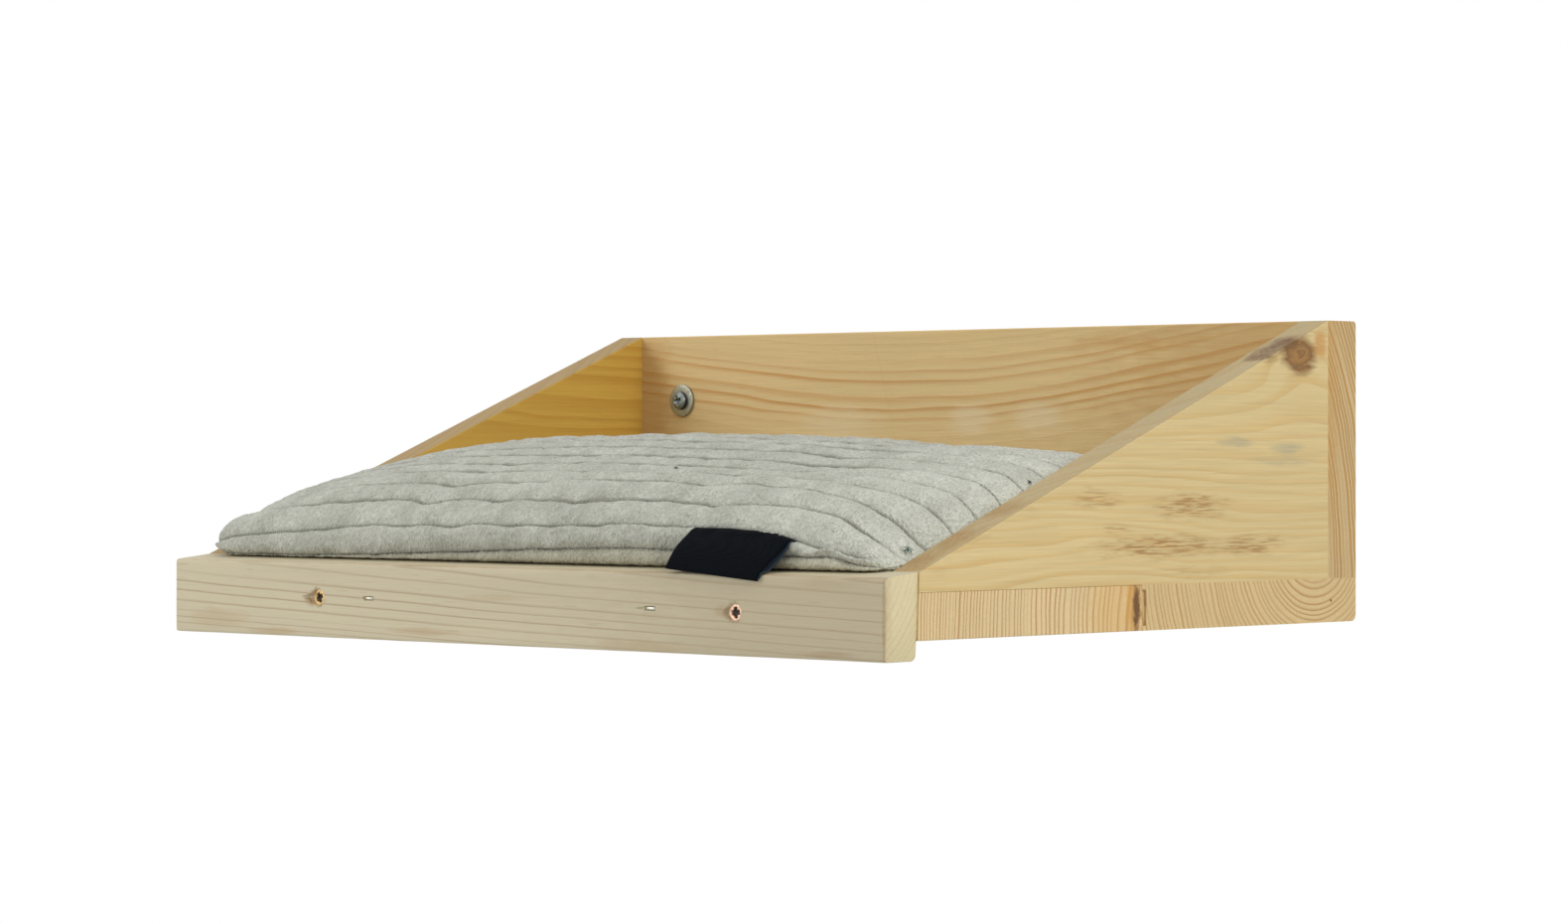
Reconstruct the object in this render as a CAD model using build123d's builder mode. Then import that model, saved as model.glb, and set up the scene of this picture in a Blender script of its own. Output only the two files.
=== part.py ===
"""A wall-hung cat shelf: two base planks, a back board, two sloping side panels, a front
rail and a loose quilted cushion, with the screws, washers and staples that hold it.

Millimetres. X runs to the right as seen from the room, +Y towards the wall, +Z up.
The origin is on the wall, midway between the two wall screws.
"""

import os

from build123d import *

os.makedirs("parts", exist_ok=True)

# The whole shelf
shelf_width = 500.0
shelf_depth = 342.5
back_height = 126.5  # above the base's top
wall_screw_height = 90.5  # above the base's top
wall_screw_inset = 50.0  # from the shelf's ends

# Boards
base_thickness = 21.5
back_thickness = 22.5
side_thickness = 17.0
front_plank_depth = 154.5
arris = 0.7  # the eased edge of a planed board
weathered_arris = 3.5  # the worn lower rear corner of the base
worn_top_arris = 2.2  # the worn upper rear corner of the back board

# Front rail, a little thicker at its top, which rises towards the cushion
rail_thickness = 20.5
rail_lean = 1.5
rail_drop = 9.0  # how far it hangs below the base's underside
rail_lip = 6.8  # how far its front edge stands above the base's top
rail_top_rise = 2.2
rail_worn_arris = 3.0
rail_end_inset = 0.8  # how much shorter than the base it is at each end

# Countersunk wood screws, sunk by hand
screw_diameter = 4.0
screw_head_diameter = 8.0
screw_head_height = 3.0
screw_length = 42.0
screw_tip = 5.0
screw_recess_span = 4.4
screw_recess_slot = 1.1
screw_recess_depth = 1.6
screw_fit = 0.05  # radial gap between a screw and the wood
rail_screw_sink = 1.2
hidden_screw_sink = 0.4
rail_screw_left_inset = 114.0  # from the shelf's left end
rail_screw_right_inset = 94.0  # from its right end
side_screw_front_inset = 75.0
side_screw_rear_inset = 55.0
back_screw_inset = 100.0  # of the outer ones from the shelf's ends
back_screw_count = 3
back_to_side_low = 32.0  # above the base's top
back_to_side_high = 98.0

# Pan-head wall screws and their large washers
wall_screw_diameter = 5.0
wall_screw_core = 3.6
wall_screw_reach = 36.0  # past the wall's face
wall_screw_tip = 6.0
wall_thread_lead = 0.05  # how far short of the wall's face the thread starts
pan_diameter = 10.0
pan_height = 3.4
pan_rim = 1.2
pan_shoulder = 3.2  # a point on the head's dome, out from the axis
pan_shoulder_height = 2.75
pan_recess_span = 5.4
pan_recess_slot = 1.3
pan_recess_depth = 2.0
washer_diameter = 18.0
washer_hole = 5.5
washer_thickness = 1.6
wall_hole = 5.5

# Staples left in the rail's face
staple_crown = 6.4
staple_wire_width = 1.3
staple_wire = 1.0
staple_leg = 15.0
staple_sink = 0.4
staple_fit = 0.05
staple_left_inset = 152.7  # from the shelf's left end
staple_right_inset = 148.7  # from its right end
staple_height = -10.2  # from the base's top

# Marks in the base's right end
pitch_pocket_width = 3.6
pitch_pocket_height = 17.0
pitch_pocket_depth = 1.4
brad_hole_diameter = 1.6
brad_hole_depth = 6.0
brad_hole_inset = 20.2  # from the wall
brad_hole_drop = 10.9  # from the base's top

# Cushion
soft_gap = 0.3  # left between cloth and wood
cushion_overhang = 13.5  # how far it bulges over the rail from the rail's rear edge
cushion_crown = 70.0  # its highest seam, above the base's top
cushion_fold = 13.2  # height of the seam between the two panels
channel_bulge = 2.3
end_draw = 6.0  # how far the front and back pull in at the two ends
cover_thickness = 1.5
filling_gap = 0.6

# Label, a folded woven tape sewn into the first channel's seam
label_width = 62.0
label_right_inset = 73.5  # of its right edge from the shelf's right end
label_tape = 0.5
label_fold = 1.5  # the loop's whole thickness at its lower edge
label_clearance = 0.9  # in front of the rail
label_rise = 1.8  # of its left lower corner over the rail's front edge
label_dip = 4.2  # how much lower its right end hangs
label_bow = 2.2
label_stand_off = 0.6  # of its root from the seam

# Seams of the top panel from front to back: the share of the cushion's depth at which
# each lies, and its share of the crown's rise over the fold.
seam_depth_shares = [
    0.016, 0.026, 0.070, 0.124, 0.184, 0.245, 0.306, 0.367, 0.430,
    0.494, 0.558, 0.622, 0.686, 0.750, 0.814, 0.875, 0.931, 0.972, 0.988,
]
seam_rise_shares = [
    0.0, 0.243, 0.437, 0.586, 0.665, 0.745, 0.815, 0.89, 0.95,
    0.985, 1.0, 0.99, 0.955, 0.91, 0.855, 0.775, 0.64, 0.35, 0.0,
]

# Where the cushion's underside meets the rail's top, between its fold and the rail's rear
toe_share = 0.45

# How much of the wall screws' stand-out its box keeps clear of. Its rear is rounded, so
# the cushion then passes their heads when it is lifted out.
rear_clear_share = 0.54

# Slices of the cushion from left to right: the share of its length at which each lies,
# its share of the full rise, and its share of the full width.
slice_place_shares = [
    0.0, 0.006, 0.020, 0.048, 0.10, 0.20, 0.38, 0.62, 0.80, 0.90, 0.952, 0.98, 0.994, 1.0,
]
slice_rise_shares = [
    0.45, 0.70, 0.83, 0.89, 0.935, 0.98, 1.0, 0.965, 0.91, 0.87, 0.80, 0.64, 0.42, 0.22,
]
slice_width_shares = [
    0.50, 0.75, 0.90, 1.0, 1.0, 1.0, 1.0, 1.0, 1.0, 0.93, 0.82, 0.62, 0.30, 0.0,
]

# Places worked out from the sizes
base_top = -wall_screw_height
base_bottom = base_top - base_thickness
back_top = base_top + back_height
back_front = -back_thickness
rail_front = -shelf_depth
rail_bottom = base_bottom - rail_drop
rail_top_front = base_top + rail_lip
rail_top_rear = rail_top_front + rail_top_rise
half_width = shelf_width / 2
side_inner = half_width - side_thickness
side_middle = half_width - side_thickness / 2
wall_screw_places = {"left": wall_screw_inset - half_width, "right": half_width - wall_screw_inset}
rail_screw_places = {
    "left": rail_screw_left_inset - half_width,
    "right": half_width - rail_screw_right_inset,
}
staple_places = {
    "left": staple_left_inset - half_width,
    "right": half_width - staple_right_inset,
}
label_left_x = half_width - label_right_inset - label_width
overrun = 2 * base_thickness


def rail_rear(height):
    """The Y of the rail's leaning rear face at a height."""
    share = (height - rail_bottom) / (rail_top_rear - rail_bottom)
    return rail_front + rail_thickness + rail_lean * share


plank_joint = rail_rear(base_top) + front_plank_depth


def along_x(points, start, end):
    """Adds a board to the open part: a YZ outline drawn between two X places."""
    with BuildSketch(Plane.YZ.offset(start)) as outline:
        with BuildLine():
            Polyline(*points, close=True)
        make_face()
    extrude(outline.sketch, amount=end - start)


def profile_plane(seat):
    """The half plane through a fastener's axis, with its local Y along that axis."""
    return Plane(origin=seat.origin, x_dir=seat.x_dir, z_dir=-seat.y_dir)


def turn(seat, points, mode=Mode.ADD):
    """Turns an outline of (radius, height) points about a seat's axis."""
    with BuildSketch(profile_plane(seat)) as outline:
        with BuildLine():
            Polyline(*points, close=True)
        make_face()
    revolve(outline.sketch, axis=Axis(seat.origin, seat.z_dir), mode=mode)


def cross_recess(seat, span, slot, depth):
    """Cuts a cross recess into a head whose face is at the seat."""
    with BuildSketch(seat) as cross:
        Rectangle(span, slot)
        Rectangle(slot, span)
    extrude(cross.sketch, amount=-depth, mode=Mode.SUBTRACT)


def countersunk_outline(fit):
    """Half the outline of a countersunk screw, grown by a fit."""
    head = screw_head_diameter / 2 + fit
    shank = screw_diameter / 2 + fit
    return [
        (0, 0),
        (head, 0),
        (shank, -screw_head_height),
        (shank, screw_tip - screw_length),
        (0, -screw_length - fit),
    ]


def bore_for_screws(seats):
    """Cuts the countersunk holes of some screws from the open board."""
    mouth = screw_head_diameter / 2 + screw_fit
    for seat in seats:
        turn(seat, countersunk_outline(screw_fit), Mode.SUBTRACT)
        turn(seat, [(0, 0), (mouth, 0), (mouth, overrun), (0, overrun)], Mode.SUBTRACT)


def write_piece(piece, name):
    """Labels a finished piece and writes its STEP file."""
    piece.part.label = name
    export_step(piece.part, f"parts/{name}.step")


def write_countersunk_screws(seats, name):
    """Makes a group of countersunk screws, whose head faces are at the seats."""
    with BuildPart() as screws:
        for seat in seats:
            turn(seat, countersunk_outline(0))
            cross_recess(seat, screw_recess_span, screw_recess_slot, screw_recess_depth)
    write_piece(screws, name)


# Seats of the countersunk screws: the head's face, looking out of the wood
rail_screw_seats = {
    side: Plane(
        origin=(x, rail_front + rail_screw_sink, base_top - base_thickness / 2),
        x_dir=(1, 0, 0),
        z_dir=(0, -1, 0),
    )
    for side, x in rail_screw_places.items()
}
side_screw_places = [
    rail_rear(base_top) + side_screw_front_inset,
    back_front - side_screw_rear_inset,
]
side_screw_seats = {
    side: [
        Plane(
            origin=(x, y, base_bottom + hidden_screw_sink),
            x_dir=(1, 0, 0),
            z_dir=(0, 0, -1),
        )
        for y in side_screw_places
    ]
    for side, x in (("left", -side_middle), ("right", side_middle))
}
back_screw_start = back_screw_inset - half_width
back_screw_spacing = -2 * back_screw_start / (back_screw_count - 1)
back_screw_seats = [
    Plane(
        origin=(
            back_screw_start + back_screw_spacing * number,
            back_front / 2,
            base_bottom + hidden_screw_sink,
        ),
        x_dir=(1, 0, 0),
        z_dir=(0, 0, -1),
    )
    for number in range(back_screw_count)
]
back_to_side_seats = {
    side: [
        Plane(
            origin=(x, -hidden_screw_sink, base_top + height),
            x_dir=(1, 0, 0),
            z_dir=(0, 1, 0),
        )
        for height in (back_to_side_low, back_to_side_high)
    ]
    for side, x in (("left", -side_middle), ("right", side_middle))
}

# Base planks, glued edge to edge
with BuildPart() as base_front_plank:
    along_x(
        [
            (rail_rear(base_bottom), base_bottom),
            (plank_joint, base_bottom),
            (plank_joint, base_top),
            (rail_rear(base_top), base_top),
        ],
        -half_width,
        half_width,
    )
    ends = base_front_plank.faces().filter_by(Axis.X)
    fillet(ends.edges().filter_by(Axis.Y), arris)
    bore_for_screws(rail_screw_seats.values())
    bore_for_screws([seats[0] for seats in side_screw_seats.values()])
write_piece(base_front_plank, "base_front_plank")

with BuildPart() as base_rear_plank:
    along_x(
        [
            (plank_joint, base_bottom),
            (0, base_bottom),
            (0, base_top),
            (plank_joint, base_top),
        ],
        -half_width,
        half_width,
    )
    long_edges = base_rear_plank.edges().filter_by(Axis.X)
    fillet(long_edges.sort_by(Axis.Z)[:2].sort_by(Axis.Y)[-1], weathered_arris)
    pocket_middle = base_top - base_thickness / 2
    with BuildSketch(Plane.YZ.offset(half_width)):
        with Locations((plank_joint + pitch_pocket_width / 2, pocket_middle)):
            RectangleRounded(
                pitch_pocket_width, pitch_pocket_height, pitch_pocket_width / 3
            )
    extrude(amount=-pitch_pocket_depth, mode=Mode.SUBTRACT)
    with BuildSketch(Plane.YZ.offset(half_width)):
        with Locations((-brad_hole_inset, base_top - brad_hole_drop)):
            Circle(brad_hole_diameter / 2)
    extrude(amount=-brad_hole_depth, mode=Mode.SUBTRACT)
    bore_for_screws([seats[1] for seats in side_screw_seats.values()])
    bore_for_screws(back_screw_seats)
write_piece(base_rear_plank, "base_rear_plank")

# Back board, standing on the base
with BuildPart() as back_board:
    along_x(
        [(back_front, base_top), (0, base_top), (0, back_top), (back_front, back_top)],
        -half_width,
        half_width,
    )
    top_edges = back_board.edges().filter_by(Axis.X).sort_by(Axis.Z)[-2:]
    fillet(top_edges.sort_by(Axis.Y)[-1], worn_top_arris)
    fillet(top_edges.sort_by(Axis.Y)[0], arris)
    for x in wall_screw_places.values():
        with BuildSketch(Plane.XZ.offset(overrun)):
            with Locations((x, 0)):
                Circle(wall_hole / 2)
        extrude(amount=-2 * overrun, mode=Mode.SUBTRACT)
    bore_for_screws(back_screw_seats)
    for seats in back_to_side_seats.values():
        bore_for_screws(seats)
write_piece(back_board, "back_board")

# Side panels, cut to a slope from the rail's rear edge to the back board's top
for side, outer in (("left", -half_width), ("right", half_width)):
    inner = outer + side_thickness if side == "left" else outer - side_thickness
    with BuildPart() as side_panel:
        along_x(
            [
                (rail_rear(base_top), base_top),
                (back_front, base_top),
                (back_front, back_top),
                (rail_rear(rail_top_rear), rail_top_rear),
            ],
            min(outer, inner),
            max(outer, inner),
        )
        slope = side_panel.faces().sort_by(Axis.Z)[-1]
        fillet(slope.edges().filter_by(Plane.YZ), arris)
        bore_for_screws(side_screw_seats[side])
        bore_for_screws(back_to_side_seats[side])
    write_piece(side_panel, f"{side}_side_panel")


def staple_boxes(x, fit, mode):
    """The crown and two legs of a staple in the rail's face, grown by a fit."""
    height = base_top + staple_height
    face = rail_front + staple_sink
    leg_offset = (staple_crown - staple_wire) / 2
    legs = [(x - leg_offset, staple_wire), (x + leg_offset, staple_wire)]
    for middle, width, reach in [(x, staple_crown, staple_wire)] + [
        (middle, width, staple_leg) for middle, width in legs
    ]:
        with BuildSketch(Plane.XZ.offset(-face)) as wire:
            with Locations((middle, height)):
                Rectangle(width + 2 * fit, staple_wire_width + 2 * fit)
        extrude(wire.sketch, amount=-reach - fit, mode=mode)
        if mode == Mode.SUBTRACT:
            extrude(wire.sketch, amount=overrun, mode=mode)


# Front rail, fixed to the base's front edge
with BuildPart() as front_rail:
    along_x(
        [
            (rail_front, rail_bottom),
            (rail_rear(rail_bottom), rail_bottom),
            (rail_rear(rail_top_rear), rail_top_rear),
            (rail_front, rail_top_front),
        ],
        rail_end_inset - half_width,
        half_width - rail_end_inset,
    )
    rail_edges = front_rail.edges().filter_by(Axis.X)
    low_edges = rail_edges.sort_by(Axis.Z)[:2]
    fillet(low_edges.sort_by(Axis.Y)[-1], rail_worn_arris)
    rail_edges = front_rail.edges().filter_by(Axis.X)
    fillet(rail_edges.sort_by(Axis.Y)[:2], 2 * arris)
    bore_for_screws(rail_screw_seats.values())
    for x in staple_places.values():
        staple_boxes(x, staple_fit, Mode.SUBTRACT)
write_piece(front_rail, "front_rail")

for side, x in staple_places.items():
    with BuildPart() as staple:
        staple_boxes(x, 0, Mode.ADD)
    write_piece(staple, f"front_rail_staple_{side}")

# Countersunk screws
for side, seat in rail_screw_seats.items():
    write_countersunk_screws([seat], f"front_rail_screw_{side}")
for side in ("left", "right"):
    write_countersunk_screws(side_screw_seats[side], f"base_to_{side}_side_screws")
    write_countersunk_screws(back_to_side_seats[side], f"back_to_{side}_side_screws")
write_countersunk_screws(back_screw_seats, "base_to_back_screws")

# Wall screws, each through a large washer
for side, x in wall_screw_places.items():
    washer_seat = Plane(origin=(x, back_front, 0), x_dir=(1, 0, 0), z_dir=(0, -1, 0))
    with BuildPart() as washer:
        with BuildSketch(washer_seat):
            Circle(washer_diameter / 2)
            Circle(washer_hole / 2, mode=Mode.SUBTRACT)
        extrude(amount=washer_thickness)
        fillet(
            washer.faces().sort_by(Axis.Y)[0].edges().sort_by(SortBy.RADIUS)[-1],
            washer_thickness / 4,
        )
    write_piece(washer, f"wall_washer_{side}")

    head_seat = washer_seat.offset(washer_thickness)
    to_wall = back_thickness + washer_thickness
    tip = to_wall + wall_screw_reach
    rim = pan_diameter / 2
    core = wall_screw_core / 2
    thread = wall_screw_diameter / 2
    with BuildPart() as wall_screw:
        with BuildSketch(profile_plane(head_seat)) as screw_outline:
            with BuildLine():
                ThreePointArc(
                    (0, pan_height), (pan_shoulder, pan_shoulder_height), (rim, pan_rim)
                )
                Polyline(
                    (rim, pan_rim),
                    (rim, 0),
                    (core, 0),
                    (core, wall_thread_lead - to_wall),
                    (thread, wall_thread_lead - to_wall),
                    (thread, wall_screw_tip - tip),
                    (0, -tip),
                    (0, pan_height),
                )
            make_face()
        revolve(screw_outline.sketch, axis=Axis(head_seat.origin, head_seat.z_dir))
        cross_recess(
            head_seat.offset(pan_height + pan_rim),
            pan_recess_span,
            pan_recess_slot,
            pan_recess_depth + pan_rim,
        )
    write_piece(wall_screw, f"wall_screw_{side}")

# Cushion, one quilted form that the two panels and the filling share
cushion_length = 2 * (side_inner - soft_gap)
cushion_front = rail_rear(rail_top_rear) - cushion_overhang
cushion_back = back_front - rear_clear_share * (washer_thickness + pan_height)
cushion_depth = cushion_back - cushion_front
cushion_bottom = base_top + soft_gap
fold_height = base_top + cushion_fold
crown_rise = cushion_crown - cushion_fold
ledge_height = rail_top_rear + soft_gap
ledge_back = rail_rear(rail_top_rear) + soft_gap


def shrink(value, low, high, inset):
    """Moves a coordinate towards the middle of its range, by an inset at the range's ends."""
    middle = (low + high) / 2
    return middle + (value - middle) * (1 - 2 * inset / (high - low))


def cushion_slice(place, rise_share, width_share, inset):
    """One YZ slice of the cushion, with its channels, as a sketch."""
    draw = end_draw * (1 - width_share)
    front, back = cushion_front + draw, cushion_back - draw
    top = base_top + cushion_crown

    def point(y, z):
        return (
            shrink(y, cushion_front, cushion_back, inset),
            shrink(z, cushion_bottom, top, inset),
        )

    seams = [
        (front + (back - front) * depth_share, fold_height + crown_rise * rise * rise_share)
        for depth_share, rise in zip(seam_depth_shares, seam_rise_shares)
    ]
    fold_y = seams[0][0]
    length = shrink(place, -cushion_length / 2, cushion_length / 2, inset)
    with BuildSketch(Plane.YZ.offset(length)) as outline:
        with BuildLine():
            for (y0, z0), (y1, z1) in zip(seams, seams[1:]):
                span = ((y1 - y0) ** 2 + (z1 - z0) ** 2) ** (1 / 2)
                bulge = channel_bulge * rise_share / span
                middle = ((y0 + y1) / 2 - (z1 - z0) * bulge, (z0 + z1) / 2 + (y1 - y0) * bulge)
                ThreePointArc(point(y0, z0), point(*middle), point(y1, z1))
            Polyline(
                point(*seams[-1]),
                point(seams[-1][0], cushion_bottom),
                point(ledge_back, cushion_bottom),
                point(ledge_back, ledge_height),
                point(fold_y + (ledge_back - fold_y) * toe_share, ledge_height),
                point(*seams[0]),
            )
        make_face()
    return outline.sketch


def cushion_form(inset):
    """The whole cushion as one solid, drawn in all round by an inset."""
    slices = [
        cushion_slice(cushion_length * (share - 1 / 2), rise_share, width_share, inset)
        for share, rise_share, width_share in zip(
            slice_place_shares, slice_rise_shares, slice_width_shares
        )
    ]
    with BuildPart() as form:
        loft(slices)
    return form.part


cushion_outer = cushion_form(0)
cushion_inner = cushion_form(cover_thickness)
split_plane = Plane.XY.offset(fold_height)

with BuildPart() as cushion_top_panel:
    add(cushion_outer)
    add(cushion_inner, mode=Mode.SUBTRACT)
    split(bisect_by=split_plane, keep=Keep.TOP)
write_piece(cushion_top_panel, "cushion_top_panel")

with BuildPart() as cushion_bottom_panel:
    add(cushion_outer)
    add(cushion_inner, mode=Mode.SUBTRACT)
    split(bisect_by=split_plane, keep=Keep.BOTTOM)
write_piece(cushion_bottom_panel, "cushion_bottom_panel")

with BuildPart() as cushion_filling:
    add(cushion_form(cover_thickness + filling_gap))
write_piece(cushion_filling, "cushion_filling")

# Label, hanging from the first channel's seam over the rail's front edge


def rise_share_at(place):
    """The cushion's share of its full rise at an X place, between its slices."""
    share = place / cushion_length + 1 / 2
    slices = list(zip(slice_place_shares, slice_rise_shares))
    for (start, low), (end, high) in zip(slices, slices[1:]):
        if share <= end:
            return low + (high - low) * (share - start) / (end - start)
    return slice_rise_shares[-1]


def label_outline(place, hem_z):
    """The label's YZ outline at an X place, from the channel's seam to its folded hem."""
    rise = crown_rise * seam_rise_shares[1] * rise_share_at(place)
    seam_y = cushion_front + cushion_depth * seam_depth_shares[1] - label_stand_off
    seam_z = fold_height + rise + label_stand_off
    hem_y = rail_front - label_clearance
    middle_y = (seam_y + hem_y) / 2 - label_bow
    middle_z = (seam_z + hem_z) / 2 + label_bow
    with BuildSketch(Plane.YZ.offset(place)) as outline:
        with BuildLine():
            ThreePointArc((seam_y, seam_z), (middle_y, middle_z), (hem_y, hem_z))
            Line((hem_y, hem_z), (hem_y - label_fold, hem_z))
            ThreePointArc(
                (hem_y - label_fold, hem_z),
                (middle_y - label_fold, middle_z),
                (seam_y - label_tape, seam_z + label_tape),
            )
            Line((seam_y - label_tape, seam_z + label_tape), (seam_y, seam_z))
        make_face()
    return outline.sketch


hem_left_z = rail_top_front + label_rise
label_ends = [
    label_outline(label_left_x, hem_left_z),
    label_outline(label_left_x + label_width, hem_left_z - label_dip),
]
with BuildPart() as cushion_label:
    loft(label_ends, ruled=True)
write_piece(cushion_label, "cushion_label")
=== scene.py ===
"""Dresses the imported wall-hung cat shelf: pine boards, worn fasteners, and a quilted plush
cushion with a blank woven label.

Metres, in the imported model's own frame: X to the right, +Y towards the wall, +Z up, with the
origin on the wall, midway between the two wall screws.
"""

import logging
import math
from dataclasses import dataclass
from enum import Enum
from typing import Any, Callable, Iterable, Sequence

import bpy
import numpy as np
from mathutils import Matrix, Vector
from mathutils import noise as waves


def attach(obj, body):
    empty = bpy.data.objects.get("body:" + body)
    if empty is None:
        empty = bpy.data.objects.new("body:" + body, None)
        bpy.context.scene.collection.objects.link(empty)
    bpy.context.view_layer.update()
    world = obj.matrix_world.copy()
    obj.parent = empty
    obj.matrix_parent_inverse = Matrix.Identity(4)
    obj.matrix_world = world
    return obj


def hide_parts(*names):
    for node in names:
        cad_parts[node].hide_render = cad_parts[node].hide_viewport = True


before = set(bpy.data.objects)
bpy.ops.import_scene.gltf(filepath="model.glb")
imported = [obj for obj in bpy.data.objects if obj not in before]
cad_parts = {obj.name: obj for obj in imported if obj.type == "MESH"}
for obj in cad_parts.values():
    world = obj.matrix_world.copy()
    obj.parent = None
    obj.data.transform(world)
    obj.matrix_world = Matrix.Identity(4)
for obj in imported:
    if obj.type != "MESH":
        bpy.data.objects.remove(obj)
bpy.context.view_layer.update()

LOG = logging.getLogger("cat_shelf")

Colour = tuple[float, float, float]
Point = tuple[float, float, float]

WHITE: Colour = (1.0, 1.0, 1.0)
BACK_FRONT = -0.0225
BACK_TOP = 0.0360
RAIL_FRONT = -0.3425
RAIL_REAR = -0.3220
RAIL_TOP = -0.0837
WASHER_THICK = 0.0016
WALL_SCREWS = {"left": -0.2, "right": 0.2}
RAIL_SCREWS = {"left": -0.136, "right": 0.156}
RAIL_SCREW_HEIGHT = -0.10125
RAIL_SCREW_SINK = 0.0012  # how far the head's face lies behind the rail's
STAPLES = {"left": -0.0973, "right": 0.1013}
STAPLE_HEIGHT = -0.1007


class Body(Enum):
    """The bodies that pieces ride on."""

    SHELF = "shelf"
    CUSHION = "cushion"


class Grain(Enum):
    """The way a board's grain runs: its own axis, then the two across it."""

    ALONG_X = (0, 1, 2)
    ALONG_Y = (1, 0, 2)


class Signal:
    """One output of a shader's node. Arithmetic on it adds the nodes that work it out."""

    def __init__(self, nodes: "Nodes", socket: bpy.types.NodeSocket) -> None:
        """Keeps the tree that the output belongs to.

        Args:
            nodes: The tree under construction.
            socket: The node's output socket.
        """
        self.nodes = nodes
        self.socket = socket

    def _reckon(self, operation: str, *values: Any) -> "Signal":
        """Adds one Math node, or a Vector Math node where a vector takes part.

        Args:
            operation: The node's operation.
            values: Its inputs in order, each a signal, a number or a tuple.

        Returns:
            The node's output.
        """
        vectors = any(
            isinstance(v, tuple) or (isinstance(v, Signal) and v.socket.type != "VALUE")
            for v in values
        )
        if not vectors:
            return self.nodes.signal(
                "ShaderNodeMath", {"operation": operation}, dict(enumerate(values))
            )
        spread = [(v, v, v) if isinstance(v, (int, float)) else v for v in values]
        return self.nodes.signal(
            "ShaderNodeVectorMath", {"operation": operation}, dict(enumerate(spread))
        )

    def __add__(self, other: Any) -> "Signal":
        """The sum."""
        return self._reckon("ADD", self, other)

    def __radd__(self, other: Any) -> "Signal":
        """The sum, with the signal on the right."""
        return self._reckon("ADD", other, self)

    def __sub__(self, other: Any) -> "Signal":
        """The difference."""
        return self._reckon("SUBTRACT", self, other)

    def __rsub__(self, other: Any) -> "Signal":
        """The difference, with the signal on the right."""
        return self._reckon("SUBTRACT", other, self)

    def __mul__(self, other: Any) -> "Signal":
        """The product."""
        return self._reckon("MULTIPLY", self, other)

    def __rmul__(self, other: Any) -> "Signal":
        """The product, with the signal on the right."""
        return self._reckon("MULTIPLY", other, self)

    def __truediv__(self, other: Any) -> "Signal":
        """The quotient."""
        return self._reckon("DIVIDE", self, other)

    def __rtruediv__(self, other: Any) -> "Signal":
        """The quotient, with the signal on the right."""
        return self._reckon("DIVIDE", other, self)

    def root(self) -> "Signal":
        """The square root."""
        return self._reckon("SQRT", self)

    def fraction(self) -> "Signal":
        """What is left over the whole number below."""
        return self._reckon("FRACT", self)

    def size(self) -> "Signal":
        """The absolute value."""
        return self._reckon("ABSOLUTE", self)

    def at_least(self, other: Any) -> "Signal":
        """The larger of two numbers."""
        return self._reckon("MAXIMUM", self, other)

    def length(self) -> "Signal":
        """A vector's length."""
        return self.nodes.signal(
            "ShaderNodeVectorMath", {"operation": "LENGTH"}, {0: self}, "Value"
        )

    def step(self, low: float, high: float) -> "Signal":
        """A smooth step from 0 at low to 1 at high."""
        settings = {"interpolation_type": "SMOOTHSTEP"}
        sockets = {"Value": self, "From Min": low, "From Max": high}
        return self.nodes.signal("ShaderNodeMapRange", settings, sockets)

    def parts(self) -> list["Signal"]:
        """A vector's three parts."""
        split = self.nodes.node("ShaderNodeSeparateXYZ", {}, {0: self})
        return [Signal(self.nodes, out) for out in split.outputs]


class Nodes:
    """A tree of shader nodes under construction."""

    def __init__(self, tree: bpy.types.NodeTree) -> None:
        """Starts with the tree emptied.

        Args:
            tree: The tree of a material or of the world.
        """
        self.tree = tree
        self.tree.nodes.clear()

    def node(
        self, kind: str, settings: dict[str, Any], sockets: dict[int | str, Any]
    ) -> bpy.types.Node:
        """Makes any node: its settings first, then its sockets' values or links.

        Args:
            kind: The node's type.
            settings: Its properties by name, with a ramp's stops under "stops".
            sockets: A value or a signal for each input named.

        Returns:
            The node.
        """
        made = self.tree.nodes.new(kind)
        for name, value in settings.items():
            if name == "stops":
                ramp = made.color_ramp.elements
                while len(ramp) < len(value):
                    ramp.new(1.0)
                for element, (position, colour) in zip(ramp, value):
                    element.position = position
                    element.color = (*colour, 1.0)
            else:
                setattr(made, name, value)
        for key, value in sockets.items():
            socket = made.inputs[key]
            if isinstance(value, Signal):
                self.tree.links.new(value.socket, socket)
            elif socket.type == "RGBA" and len(value) == 3:
                socket.default_value = (*value, 1.0)
            else:
                socket.default_value = value
        return made

    def signal(
        self,
        kind: str,
        settings: dict[str, Any],
        sockets: dict[int | str, Any],
        output: int | str = 0,
    ) -> Signal:
        """Makes a node and takes one of its outputs.

        Args:
            kind: The node's type.
            settings: Its properties by name.
            sockets: A value or a signal for each input named.
            output: Which output.

        Returns:
            The output.
        """
        return Signal(self, self.node(kind, settings, sockets).outputs[output])


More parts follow.
